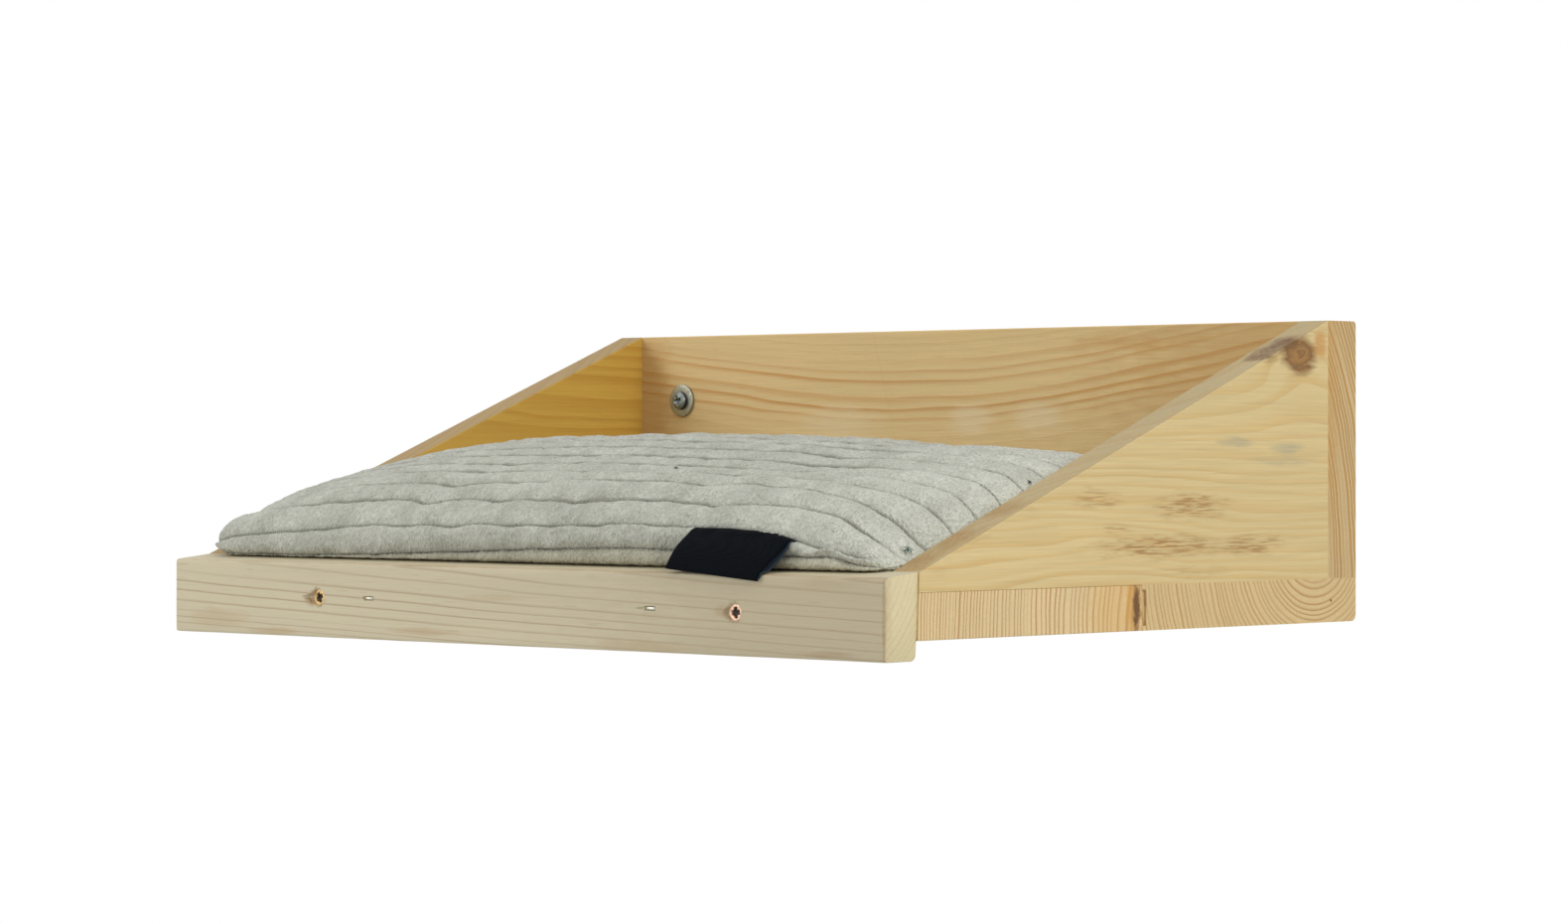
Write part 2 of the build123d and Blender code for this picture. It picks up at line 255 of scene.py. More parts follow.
class Shader(Nodes):
    """A material under construction."""

    def __init__(self, name: str) -> None:
        """Starts an empty material.

        Args:
            name: The material's name.
        """
        self.material = bpy.data.materials.new(name)
        self.material.use_nodes = True
        super().__init__(self.material.node_tree)

    def place(self) -> Signal:
        """The place on the object at rest, in metres."""
        return self.signal("ShaderNodeTexCoord", {}, {}, "Object")

    def facing(self) -> Signal:
        """The surface's normal."""
        return self.signal("ShaderNodeNewGeometry", {}, {}, "Normal")

    def vector(self, x: Any, y: Any, z: Any) -> Signal:
        """Three numbers as one vector."""
        return self.signal("ShaderNodeCombineXYZ", {}, {0: x, 1: y, 2: z})

    def noise(self, at: Signal, scale: float, detail: float = 2.0, rough: float = 0.5) -> Signal:
        """Smooth noise about 0.5.

        Args:
            at: Where it is read.
            scale: Its lumps per metre.
            detail: How many finer layers it has.
            rough: How strong the finer layers are.

        Returns:
            The noise.
        """
        sockets = {"Vector": at, "Scale": scale, "Detail": detail, "Roughness": rough}
        return self.signal("ShaderNodeTexNoise", {}, sockets)

    def mix(self, first: Any, second: Any, share: Any, blend: str = "MIX") -> Signal:
        """Mixes two colours.

        Args:
            first: The colour under.
            second: The colour over.
            share: How much of the second.
            blend: The way they mix.

        Returns:
            The colour.
        """
        settings = {"data_type": "RGBA", "blend_type": blend}
        return self.signal("ShaderNodeMix", settings, {0: share, 6: first, 7: second}, 2)

    def grey(self, value: Signal) -> Signal:
        """A number as a grey colour."""
        return self.signal("ShaderNodeCombineColor", {}, {0: value, 1: value, 2: value})

    def finish(
        self,
        changing: dict[str, Any],
        plain: dict[str, float],
        relief: Signal | None = None,
        depth: float = 0.0003,
    ) -> bpy.types.Material:
        """Closes the material.

        Args:
            changing: What varies over the surface, by socket.
            plain: What is the same all over, by socket.
            relief: The bump's height.
            depth: How deep a relief of 1 is.

        Returns:
            The finished material.
        """
        sockets = {**plain, **changing}
        if relief is not None:
            sockets["Normal"] = self.signal(
                "ShaderNodeBump", {}, {"Strength": 1.0, "Distance": depth, "Height": relief}
            )
        surface = self.signal("ShaderNodeBsdfPrincipled", {}, sockets)
        self.node("ShaderNodeOutputMaterial", {}, {"Surface": surface})
        return self.material


@dataclass(frozen=True)
class Mark:
    """A patch laid over a board's colour: a stain, scuff, smudge or painted shade."""

    place: Point
    reach: Point
    colour: Colour
    strength: float
    streaky: float = 0.0


@dataclass(frozen=True)
class Knot:
    """A knot: its centre, its half sizes, and how far it pushes the rings aside."""

    place: Point
    reach: Point
    push: float
    spread: float = 3.0  # how far out the rings are pushed, in times its own size


@dataclass(frozen=True)
class Wood:
    """Sawn and planed softwood, whose year rings run through the whole board."""

    name: str
    grain: Grain
    heart: tuple[float, float]  # the tree's middle, across the grain
    ring: float
    pale: Colour
    dark: Colour
    contrast: float = 0.7
    lean: tuple[float, float] = (0.0, 0.0)
    sweep: tuple[float, float] = (0.0, 0.0)  # where the rings lie lowest, their curve up from it
    strongest: tuple[float, float, float] | None = None  # height, reach, strength elsewhere
    end_strength: float = 1.0  # how much of the rings shows in the end grain
    wander: float = 0.010
    waves: tuple[float, float] = (3.0, 14.0)  # the wander's waves per metre, along and across
    narrowing: float = 0.0  # how the rings close up away from the heart, per metre
    summer_from: float = 0.25  # where in a ring the dark wood starts
    end_tint: Colour = WHITE
    # Multiplies faces turned upwards: painted shade on the right panel's top edge, and a cooler tone on
    # the left panel's top edges.
    top_tint: Colour = WHITE
    fibre: float = 0.10
    stave: tuple[float, float, float] | None = None  # glue line: place, slant, ring shift
    knots: tuple[Knot, ...] = ()
    marks: tuple[Mark, ...] = ()
    roughness: float = 0.58

    def material(self) -> bpy.types.Material:
        """Builds the solid wood.

        Returns:
            The material.
        """
        shader = Shader(self.name)
        at = shader.place()
        axes = at.parts()
        along, across, up = (axes[i] for i in self.grain.value)
        far, close = self.waves
        slow = shader.noise(shader.vector(along * far, across * close, up * close), 1.0, 3.0)
        other = shader.noise(
            shader.vector(along * (far * 0.73) + 7.3, across * (close * 0.8), up * (close * 0.8)), 1.0
        )
        a = across - self.heart[0] - along * self.lean[0] + (slow - 0.5) * self.wander
        b = up - self.heart[1] - along * self.lean[1] + (other - 0.5) * self.wander
        if self.sweep[1]:
            bend = along - self.sweep[0]
            b = b - bend * bend * self.sweep[1]
        if self.stave:
            place, slant, shift = self.stave
            glue = (along - place - up * slant).step(-0.0002, 0.0002)
            a = a + glue * shift
            b = b - glue * shift * 0.6
        radius = (a * a + b * b).root()
        for knot in self.knots:
            near = ((at - knot.place) / knot.reach).length() * (1.0 / knot.spread)
            radius = radius + knot.push / (1.0 + near * near)
        uneven = shader.noise(shader.vector(radius * 70.0, 0.0, 0.0), 1.0, 2.0)
        years = radius * (1.0 + radius * self.narrowing) / self.ring + uneven * 3.2
        phase = years.fraction()
        strong = shader.noise(shader.vector(years * 0.61, along * 3.0, 4.0), 1.0).step(0.28, 0.66)
        summer = phase.step(self.summer_from, 0.93) * (1.0 - phase.step(0.94, 1.0))
        summer = summer * (0.35 + strong * 0.85)

        fibre = shader.noise(shader.vector(along * 22.0, across * 900.0, up * 900.0), 1.0, 3.0)
        patch = shader.noise(shader.vector(along * 6.0, across * 45.0, up * 45.0), 1.0, 2.0)
        facing = shader.facing().parts()
        end = facing[self.grain.value[0]].size().step(0.6, 0.85)
        depth = summer * self.contrast * (0.45 + patch * 1.1)
        depth = depth * (1.0 - end * (1.0 - self.end_strength))
        if self.strongest:
            height, reach, rest = self.strongest
            off = (b + (self.heart[1] - height)).size() * (1.0 / reach)
            plain = off.step(0.35, 1.0) * (1.0 - end)
            depth = depth * (1.0 - plain * (1.0 - rest))
        colour = shader.mix(self.pale, self.dark, depth)
        tone = 1.0 - self.fibre / 2 + (fibre - 0.5) * self.fibre * 2.0 + (patch - 0.5) * 0.16
        colour = shader.mix(colour, shader.grey(tone), 1.0, "MULTIPLY")
        ducts = shader.noise(shader.vector(along * 55.0, across * 1500.0, up * 1500.0), 1.0, 1.0)
        colour = shader.mix(colour, self.dark, ducts.step(0.66, 0.76) * 0.30)
        if self.stave:
            line = 1.0 - ((along - self.stave[0] - up * self.stave[1]).size()).step(0.0, 0.0009)
            colour = shader.mix(colour, self.dark, line * 0.12)

        # Faces turned upwards take top_tint, which carries painted shade on the right panel.
        top = facing[2].step(0.5, 0.8)
        colour = shader.mix(colour, self.end_tint, end, "MULTIPLY")
        colour = shader.mix(colour, self.top_tint, top, "MULTIPLY")
        ragged = shader.noise(shader.vector(along * 60.0, across * 260.0, up * 260.0), 1.0, 3.0)
        streaks = shader.noise(shader.vector(along * 70.0, across * 900.0, up * 900.0), 1.0, 2.0)
        for knot in self.knots:
            near = ((at - knot.place) / knot.reach).length() + (ragged - 0.5) * 0.9
            core = 1.0 - near.step(0.55, 1.05)
            swirl = shader.noise(at, 150.0, 3.0)
            rings = (near * 2.2 + swirl * 1.3).fraction().step(0.1, 1.0)
            shade = rings * 0.40 + near.step(0.4, 1.0) * 0.55
            heart = shader.mix((0.33, 0.17, 0.050), (0.07, 0.032, 0.012), shade)
            colour = shader.mix(colour, heart, core)
        for mark in self.marks:
            near = ((at - mark.place) / mark.reach).length() + (ragged - 0.5) * 1.1
            cover = (1.0 - near.step(0.3, 1.15)) * mark.strength
            if mark.streaky:
                cover = cover * (1.0 - mark.streaky + streaks.step(0.42, 0.62) * mark.streaky)
            colour = shader.mix(colour, mark.colour, cover)
        relief = fibre * 0.5 + summer * 0.35 + streaks * 0.25 + end * ducts * 0.8
        rough = self.roughness + (fibre - 0.5) * 0.2 - summer * 0.05
        return shader.finish(
            {"Base Color": colour, "Roughness": rough},
            {"Specular IOR Level": 0.35},
            relief,
            0.00022,
        )


@dataclass(frozen=True)
class Metal:
    """Plated or bare steel and brass, a little stained."""

    name: str
    bright: Colour
    dull: Colour
    roughness: float = 0.35
    stain: float = 0.5
    painted_shade_band: tuple[float, float] | None = None  # from and to which Y painted shade darkens the metal, in the recess and at the head's foot

    def material(self) -> bpy.types.Material:
        """Builds the metal.

        Returns:
            The material.
        """
        shader = Shader(self.name)
        at = shader.place()
        cloud = shader.noise(at, 420.0, 3.0)
        grit = shader.noise(at, 3200.0, 2.0)
        cover = cloud.step(0.35, 0.75) * self.stain
        colour = shader.mix(self.bright, self.dull, cover)
        plain = cover * 0.35
        if self.painted_shade_band:
            depth = at.parts()[1]
            start, end = self.painted_shade_band
            # Painted shade: between these depths the metal is darkened and made less metallic, deep in
            # the cross recess and at the head's foot.
            painted_recess_shade = depth.step(start, start + 0.0006) * (1.0 - depth.step(end, end + 0.0006))
            colour = shader.mix(colour, (0.018, 0.012, 0.007), painted_recess_shade * 0.95)
            plain = plain + painted_recess_shade * 0.6
        changing = {
            "Base Color": colour,
            "Roughness": self.roughness + cover * 0.25 + (grit - 0.5) * 0.15,
            "Metallic": 1.0 - plain,
        }
        return shader.finish(changing, {}, grit + cloud, 0.00004)


@dataclass(frozen=True)
class Plush:
    """Short-pile plush, brushed this way and that, with painted shade in and beside its seams, painted
    light towards its right end and painted shade along its front.
    """

    name: str
    tips: Colour = (0.70, 0.71, 0.615)
    depths: Colour = (0.25, 0.252, 0.195)
    # the colour of the painted shade in and beside the seams
    seam: Colour = (0.115, 0.112, 0.080)

    def material(self) -> bpy.types.Material:
        """Builds the plush.

        Returns:
            The material.
        """
        shader = Shader(self.name)
        at = shader.place()
        x, y, z = at.parts()
        drift = shader.noise(at, 42.0, 2.0, 0.5)
        brushed = shader.noise(shader.vector(x, y * 0.45, z * 0.45), 130.0, 2.0, 0.5)
        clumps = shader.noise(shader.vector(x, y * 0.6, z * 0.6), 760.0, 1.0, 0.5)
        pile = shader.noise(shader.vector(x, y * 0.45, z * 0.45), 1500.0, 1.0, 0.5)
        fluff = clumps.step(0.32, 0.66) * 0.55 + pile.step(0.30, 0.70) * 0.45
        rough = 0.24 + brushed.step(0.3, 0.7) * 0.26
        tone = fluff * rough + (drift.step(0.35, 0.65) - 0.5) * 0.17 + 0.39
        # Painted light: the plush is made lighter towards its right end, and painted shade makes it
        # darker along its front.
        tone = tone + x.step(0.12, 0.215) * 0.20 - (1.0 - y.step(-0.331, -0.322)) * 0.05
        colour = shader.mix(self.depths, self.tips, tone)
        # Painted shade: the seams and the foot of the roll behind each are darkened, where shade falls
        # between the rolls.
        line = shader.signal("ShaderNodeAttribute", {"attribute_name": "seam_line"}, {}, "Fac")
        seam_shade = (line + (clumps - 0.5) * 0.30).step(0.40, 1.0)
        colour = shader.mix(colour, self.seam, seam_shade * 0.60)
        relief = clumps * 1.0 + pile * 0.6 + brushed * 0.5
        return shader.finish(
            {"Base Color": colour, "Roughness": 0.80 + pile * 0.18},
            {"Specular IOR Level": 0.15, "Sheen Weight": 0.30, "Sheen Roughness": 0.5},
            relief,
            0.0017,
        )


@dataclass(frozen=True)
class Woven:
    """Fine woven tape or twisted thread."""

    name: str
    colour: Colour
    # the lighter colour of the raised thread crossings, a painted highlight, and of dust specks
    lift: Colour
    pitch: float = 0.00042

    def material(self) -> bpy.types.Material:
        """Builds the weave.

        Returns:
            The material.
        """
        shader = Shader(self.name)
        x, y, z = shader.place().parts()
        turns = 2.0 * math.pi / self.pitch
        warp = self._wave(shader, x * turns)
        weft = self._wave(shader, (z - y) * (turns * 0.7))
        weave = warp * weft
        dust = shader.noise(shader.place(), 900.0, 3.0)
        # Painted highlight on the raised thread crossings, with dust specks.
        colour = shader.mix(self.colour, self.lift, weave * 0.35 + dust.step(0.6, 0.8) * 0.25)
        return shader.finish(
            {"Base Color": colour, "Roughness": 0.62 + dust * 0.2},
            {"Specular IOR Level": 0.03},
            weave,
            0.00008,
        )

    @staticmethod
    def _wave(shader: Shader, angle: Signal) -> Signal:
        """A wave from 0 to 1 along an angle."""
        return shader.signal("ShaderNodeMath", {"operation": "SINE"}, {0: angle}) * 0.5 + 0.5


def slope_top(y: float) -> float:
    """The height of the side panels' sloping edge at a depth."""
    low, high = (RAIL_REAR, RAIL_TOP), (BACK_FRONT, BACK_TOP)
    return low[1] + (y - low[0]) / (high[0] - low[0]) * (high[1] - low[1])


class Finishes:
    """Every finish of the shelf, built once."""

    def __init__(self) -> None:
        """Builds the materials."""
        brown: Colour = (0.34, 0.19, 0.07)
        scuff: Colour = (0.42, 0.25, 0.09)
        smudge: Colour = (0.30, 0.30, 0.22)
        soot: Colour = (0.125, 0.058, 0.014)
        stain: Colour = (0.33, 0.18, 0.05)
        worn: Colour = (0.34, 0.185, 0.06)
        outer = 0.25
        self.rail = Wood(
            "washed_pine_rail",
            Grain.ALONG_X,
            heart=(-0.392, -0.060),
            ring=0.0031,
            pale=(0.595, 0.528, 0.362),
            dark=(0.36, 0.255, 0.135),
            contrast=0.58,
            lean=(0.02, -0.012),
            wander=0.005,
            summer_from=0.70,
            end_strength=0.40,
            end_tint=(1.16, 1.13, 0.98),
            fibre=0.07,
            marks=(
                Mark((-0.1385, RAIL_FRONT, -0.1017), (0.0085, 0.006, 0.0042), brown, 0.75),
                Mark((0.152, RAIL_FRONT, -0.1010), (0.0090, 0.006, 0.0040), brown, 0.45),
                Mark((-0.215, RAIL_FRONT, -0.113), (0.030, 0.006, 0.0060), scuff, 0.26),
                Mark((-0.170, RAIL_FRONT, -0.119), (0.022, 0.006, 0.0022), scuff, 0.35),
                Mark((-0.005, RAIL_FRONT, -0.098), (0.026, 0.006, 0.0020), scuff, 0.24),
                Mark((-0.055, RAIL_FRONT, -0.116), (0.030, 0.006, 0.0024), scuff, 0.36),
                Mark((0.098, RAIL_FRONT, -0.118), (0.040, 0.006, 0.0030), scuff, 0.30),
                Mark((0.215, RAIL_FRONT, -0.1185), (0.018, 0.006, 0.0020), brown, 0.42),
                Mark((0.213, RAIL_FRONT, -0.0870), (0.020, 0.006, 0.0030), scuff, 0.22),
                # Painted shadow: a brown line along the rail's top front edge, in the crease under the
                # cushion's front.
                Mark((0.10, RAIL_FRONT + 0.001, -0.0836), (0.6, 0.0022, 0.0011), brown, 0.55, 0.6),
                Mark((0.249, RAIL_FRONT, -0.102), (0.0016, 0.0016, 0.030), brown, 0.60, 0.3),
                # Darkens the rail's right part, most near its right end.
                Mark((0.200, RAIL_FRONT, -0.1), (0.150, 0.006, 0.060), (0.42, 0.34, 0.21), 0.34),
            ),
        ).material()
        self.base_front = Wood(
            "pine_base_front",
            Grain.ALONG_X,
            heart=(-0.095, -0.110),
            ring=0.0115,
            pale=(0.735, 0.565, 0.305),
            dark=(0.46, 0.25, 0.085),
            contrast=1.0,
            wander=0.008,
            narrowing=10.0,
            summer_from=0.50,
            marks=(
                Mark((outer, -0.1850, -0.101), (0.004, 0.0260, 0.030), (0.66, 0.40, 0.13), 0.45),
                Mark((outer, -0.1720, -0.101), (0.004, 0.0070, 0.024), (0.60, 0.31, 0.07), 0.7),
                Mark((outer, -0.1700, -0.1010), (0.008, 0.0034, 0.0150), (0.13, 0.055, 0.015), 0.95),
            ),
        ).material()
        self.base_rear = Wood(
            "pine_base_rear",
            Grain.ALONG_X,
            heart=(-0.034, -0.070),
            ring=0.0029,
            pale=(0.67, 0.495, 0.243),
            dark=(0.42, 0.23, 0.075),
            contrast=0.72,
            wander=0.010,
            summer_from=0.45,
        ).material()
        self.back = Wood(
            "pine_back_board",
            Grain.ALONG_X,
            heart=(-0.240, -0.118),
            ring=0.0027,
            pale=(0.750, 0.545, 0.248),
            dark=(0.56, 0.27, 0.055),
            contrast=0.74,
            sweep=(-0.05, 0.38),
            strongest=(0.001, 0.022, 0.14),
            wander=0.009,
            waves=(4.0, 14.0),
            summer_from=0.35,
            end_strength=1.7,
            end_tint=(0.78, 0.80, 0.88),
            stave=(-0.0445, -0.29, 0.0),
            marks=(
                # Painted shadow: the board's right part is darkened where the right side panel shades
                # it.
                Mark((0.230, BACK_FRONT, 0.000), (0.150, 0.01, 0.080), (0.50, 0.27, 0.065), 0.45),
                # Painted shade: orange-brown darkening in the corner beside the left side panel.
                Mark((-0.228, BACK_FRONT, -0.005), (0.022, 0.01, 0.060), (0.48, 0.24, 0.06), 0.50),
                Mark((0.125, BACK_FRONT, 0.027), (0.050, 0.01, 0.0050), (0.56, 0.30, 0.08), 0.45, 0.3),
                Mark((0.015, BACK_FRONT, -0.0115), (0.019, 0.01, 0.010), (0.77, 0.63, 0.39), 0.50),
                Mark((0.062, BACK_FRONT, -0.0110), (0.022, 0.01, 0.009), (0.77, 0.63, 0.39), 0.50),
                Mark((-0.078, BACK_FRONT, -0.013), (0.034, 0.01, 0.012), (0.77, 0.63, 0.39), 0.40),
            ),
        ).material()
        self.right = Wood(
            "pine_right_side",
            Grain.ALONG_Y,
            heart=(0.222, 0.050),
            ring=0.0150,
            pale=(0.685, 0.535, 0.262),
            dark=(0.60, 0.37, 0.11),
            contrast=0.40,
            wander=0.026,
            waves=(7.0, 26.0),
            narrowing=9.0,
            summer_from=0.25,
            # Painted shade: the sloping top edge is darkened, as light falls on this panel from the
            # side.
            top_tint=(0.70, 0.70, 0.72),
            fibre=0.16,
            knots=(Knot((outer, -0.0455, 0.0190), (0.016, 0.0158, 0.0118), 0.017, 2.4),),
            marks=(
                *(
                    Mark((0.2440, y, slope_top(y)), (0.011, 0.0085, 0.0048), soot, 0.92, 0.35)
                    for y in (-0.0690, -0.0600, -0.0510)
                ),
                *(
                    Mark((0.2400, y, slope_top(y)), (0.0105, reach, reach * 0.35), stain, 0.75, 0.4)
                    for y, reach in ((-0.3080, 0.022), (-0.2830, 0.024), (-0.2500, 0.018))
                ),
                Mark((outer, -0.0290, 0.0240), (0.008, 0.0062, 0.0085), (0.50, 0.21, 0.035), 0.75, 0.3),
                Mark((outer, -0.0950, -0.0237), (0.006, 0.0150, 0.0030), smudge, 0.55, 0.4),
                Mark((outer, -0.0564, -0.0271), (0.006, 0.0150, 0.0036), smudge, 0.60, 0.4),
                Mark((outer, -0.0600, -0.0330), (0.006, 0.0300, 0.0030), smudge, 0.30, 0.6),
                Mark((outer, -0.1290, -0.0540), (0.006, 0.0340, 0.0078), worn, 0.85, 0.85),
                Mark((outer, -0.1980, -0.0500), (0.006, 0.0220, 0.0060), worn, 0.60, 0.95),
                Mark((outer, -0.1850, -0.0640), (0.006, 0.0160, 0.0030), worn, 0.55, 0.95),
                Mark((outer, -0.1500, -0.0730), (0.006, 0.0560, 0.0064), worn, 0.90, 0.85),
                Mark((outer, -0.0835, -0.0730), (0.006, 0.0280, 0.0062), worn, 0.80, 0.85),
                Mark((outer, -0.1250, -0.0850), (0.006, 0.0300, 0.0040), scuff, 0.35, 0.8),
            ),
        ).material()
        self.left = Wood(
            "pine_left_side",
            Grain.ALONG_Y,
            heart=(-0.30, -0.045),
            ring=0.0052,
            # The deep ochre of this board is partly its own tone and partly painted warm bounce light
            # from inside the alcove.
            pale=(0.62, 0.375, 0.064),
            dark=(0.48, 0.235, 0.028),
            contrast=0.55,
            wander=0.026,
            # The top edges are cooled towards plain pine, as they stand outside the painted bounce
            # light.
            top_tint=(0.66, 0.755, 1.75),
        ).material()
        self.zinc = Metal("zinc_plate", (0.40, 0.43, 0.37), (0.17, 0.17, 0.12), 0.36, 0.6).material()
        self.brass = Metal("yellow_zinc", (0.50, 0.35, 0.16), (0.14, 0.08, 0.035), 0.4, 0.7).material()
        head = BACK_FRONT - WASHER_THICK
        self.zinc_screw = Metal(
            "zinc_screw", (0.30, 0.34, 0.33), (0.11, 0.12, 0.10), 0.36, 0.6, (head - 0.0021, head)
        ).material()
        sunk = RAIL_FRONT + RAIL_SCREW_SINK
        recess = (sunk + 0.0003, sunk + 0.0040)
        self.sunk_brass = Metal(
            "sunk_yellow_zinc", (0.55, 0.38, 0.17), (0.16, 0.09, 0.04), 0.45, 0.6, recess
        ).material()
        self.copper = Metal(
            "copper_pink", (0.68, 0.46, 0.33), (0.24, 0.14, 0.09), 0.42, 0.5, recess
        ).material()
        self.steel = Metal("staple_steel", (0.60, 0.58, 0.50), (0.20, 0.18, 0.13), 0.42, 0.6).material()
        self.plush = Plush("sage_plush").material()
        # A darker, warmer copy of the plush for the bottom panel: painted shade with painted warm
        # bounce light from the wood.
        self.shaded_warm_plush = Plush(
            "sage_plush_shaded_warm", (0.65, 0.63, 0.485), (0.23, 0.22, 0.155)
        ).material()
        self.tape = Woven("black_tape", (0.0020, 0.0030, 0.0046), (0.006, 0.0085, 0.0115)).material()
        # The folded tape's back layer is the same black tape, painted blue-grey as painted sheen.
        self.tape_back_painted_sheen = Woven("tape_back_painted_sheen", (0.032, 0.044, 0.060), (0.06, 0.08, 0.10)).material()
        self.thread = Woven("sewing_thread", (0.22, 0.225, 0.19), (0.30, 0.31, 0.26)).material()
        self.lint = Woven("green_lint", (0.02, 0.10, 0.085), (0.04, 0.15, 0.13)).material()
        self.dark_lint = Woven("dark_lint", (0.035, 0.04, 0.04), (0.07, 0.08, 0.08)).material()


def stand(name: str, data: bpy.types.ID) -> bpy.types.Object:
    """Makes an object of some data and puts it in the scene.

    Args:
        name: The object's name.
        data: Its mesh, lamp or camera.

    Returns:
        The object.
    """
    made = bpy.data.objects.new(name, data)
    bpy.context.scene.collection.objects.link(made)
    return made


class Mesh:
    """Points and faces gathered for one piece."""

    def __init__(self) -> None:
        """Starts with nothing."""
        self.points: list[Point] = []
        self.faces: list[tuple[int, ...]] = []
        self.finishes: list[int] = []

    def add(self, points: Iterable[Point], faces: Iterable[Iterable[int]], finish: int = 0) -> int:
        """Adds a patch.

        Args:
            points: Its points.
            faces: Its faces, by place in those points.
            finish: The number of its material.

        Returns:
            The number of its first point.
        """
        start = len(self.points)
        self.points.extend(tuple(float(v) for v in p) for p in points)
        for face in faces:
            self.faces.append(tuple(start + i for i in face))
            self.finishes.append(finish)
        return start

    def piece(
        self,
        name: str,
        finishes: list[bpy.types.Material],
        body: Body,
        slot: str,
        replaced: Iterable[str] = (),
    ) -> bpy.types.Object:
        """Makes the piece and hangs it on its body.

        Args:
            name: The piece's name.
            finishes: Its materials.
            body: The body that it rides on.
            slot: The record's material slot; not used.
            replaced: The nodes that it stands for.

        Returns:
            The object.
        """
        data = bpy.data.meshes.new(name)
        data.from_pydata(self.points, [], self.faces)
        for material in finishes:
            data.materials.append(material)
        data.polygons.foreach_set("material_index", self.finishes)
        data.polygons.foreach_set("use_smooth", [True] * len(self.faces))
        data.update()
        made = stand(name, data)
        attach(made, body.value)
        if replaced:
            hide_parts(*replaced)
        LOG.info("%s: %d points, %d faces", name, len(self.points), len(self.faces))
        return made


def grid_faces(rows: int, columns: int, closed: bool = False) -> list[tuple[int, int, int, int]]:
    """The faces of a grid whose points run row by row.

    Args:
        rows: The number of rows.
        columns: The number of points in each row.
        closed: Whether each row closes on itself.

    Returns:
        The faces.
    """
    faces = []
    for row in range(rows - 1):
        for column in range(columns if closed else columns - 1):
            after = (column + 1) % columns
            low, high = row * columns, (row + 1) * columns
            faces.append((low + column, low + after, high + after, high + column))
    return faces


def tube_faces(rings: int, around: int) -> list[tuple[int, ...]]:
    """The faces of a tube whose points run ring by ring, with a cap at each end.

    Args:
        rings: The number of rings.
        around: The number of points in each ring.

    Returns:
        The faces.
    """
    last = (rings - 1) * around
    caps = [tuple(range(around))[::-1], tuple(last + i for i in range(around))]
    return grid_faces(rings, around, closed=True) + caps


def through(places: np.ndarray, at: Sequence[float], values: Sequence[float]) -> np.ndarray:
    """A smooth curve through a table, that never overshoots it.

    Args:
        places: Where the curve is read.
        at: The table's places, rising.
        values: The table's values.

    Returns:
        The curve's values.
    """
    x, y = np.array(at), np.array(values)
    step = np.diff(x)
    slope = np.diff(y) / step
    tangent = np.zeros_like(y)
    tangent[0], tangent[-1] = slope[0], slope[-1]
    same = slope[:-1] * slope[1:] > 0
    total = np.where(same, slope[:-1] + slope[1:], 1.0)
    tangent[1:-1] = np.where(same, 2 * slope[:-1] * slope[1:] / total, 0.0)
    i = np.clip(np.searchsorted(x, places) - 1, 0, len(step) - 1)
    t = (places - x[i]) / step[i]
    return (
        y[i] * (1 + 2 * t) * (1 - t) ** 2
        + tangent[i] * step[i] * t * (1 - t) ** 2
        + y[i + 1] * t**2 * (3 - 2 * t)
        - tangent[i + 1] * step[i] * t**2 * (1 - t)
    )


def lumps(x: float, y: float, z: float, scale: float, seed: float = 0.0) -> float:
    """Smooth noise from about -1 to 1.

    Args:
        x: The place.
        y: The place.
        z: The place.
        scale: Its lumps per metre.
        seed: Which of many like patterns.

    Returns:
        The noise.
    """
    return waves.noise(Vector((x * scale + seed, y * scale, z * scale - seed)))


def ease(value: float) -> float:
    """A smooth step from 0 to 1."""
    held = min(max(value, 0.0), 1.0)
    return held * held * (3 - 2 * held)


@dataclass(frozen=True)
class Tear:
    """A hollow torn in the rail's face round a screw's head."""

    x: float
    z: float
    radius: float
    depth: float
    pull: float  # how far the torn grain runs out to the left
    seed: float
    bore_depth: float = 0.0020  # the bore's mouth, hidden under the head

    def sink(self, x: float, z: float) -> float:
        """How far a point of the face lies back in the hollow, or stands out on its rim.

        Args:
            x: The point's place.
            z: The point's height.

        Returns:
            The depth.
        """
        dx, dz = x - self.x, z - self.z
        if dx < 0:
            dx *= self.radius / (self.radius + self.pull * math.exp(-((dz / 0.0016) ** 2)))
        ragged = 1 + 0.22 * lumps(dx, dz, 0, 420, self.seed) + 0.1 * lumps(dx, dz, 0, 1400, self.seed)
        away = math.hypot(dx, dz) / (self.radius * ragged)
        wall = 1 - ease((away - 0.74) / 0.30)
        rim = math.exp(-(((away - 1.12) / 0.12) ** 2)) * (0.5 + lumps(x, z, 0, 900, self.seed))
        bore = 1 - ease((math.hypot(x - self.x, dz) - 0.0029) / 0.0006)
        return self.depth * wall - 0.00022 * rim + self.bore_depth * bore


@dataclass(frozen=True)
class Slit:
    """The narrow dent that a staple's crown leaves, with a split running from it."""

    x: float
    z: float
    half_width: float
    half_height: float
    depth: float
    split: float

    def sink(self, x: float, z: float) -> float:
        """How far a point of the face lies back in the dent."""
        over = max(abs(x - self.x) - self.half_width, abs(z - self.z) - self.half_height)
        dent = self.depth * (1 - ease(over / 0.00025))
        run = self.x - self.half_width - x
        if 0 < run < self.split:
            narrow = 0.00045 * (1 - run / self.split)
            dent = max(dent, 0.0006 * (1 - ease((abs(z - self.z) - narrow) / 0.0002)))
        return dent


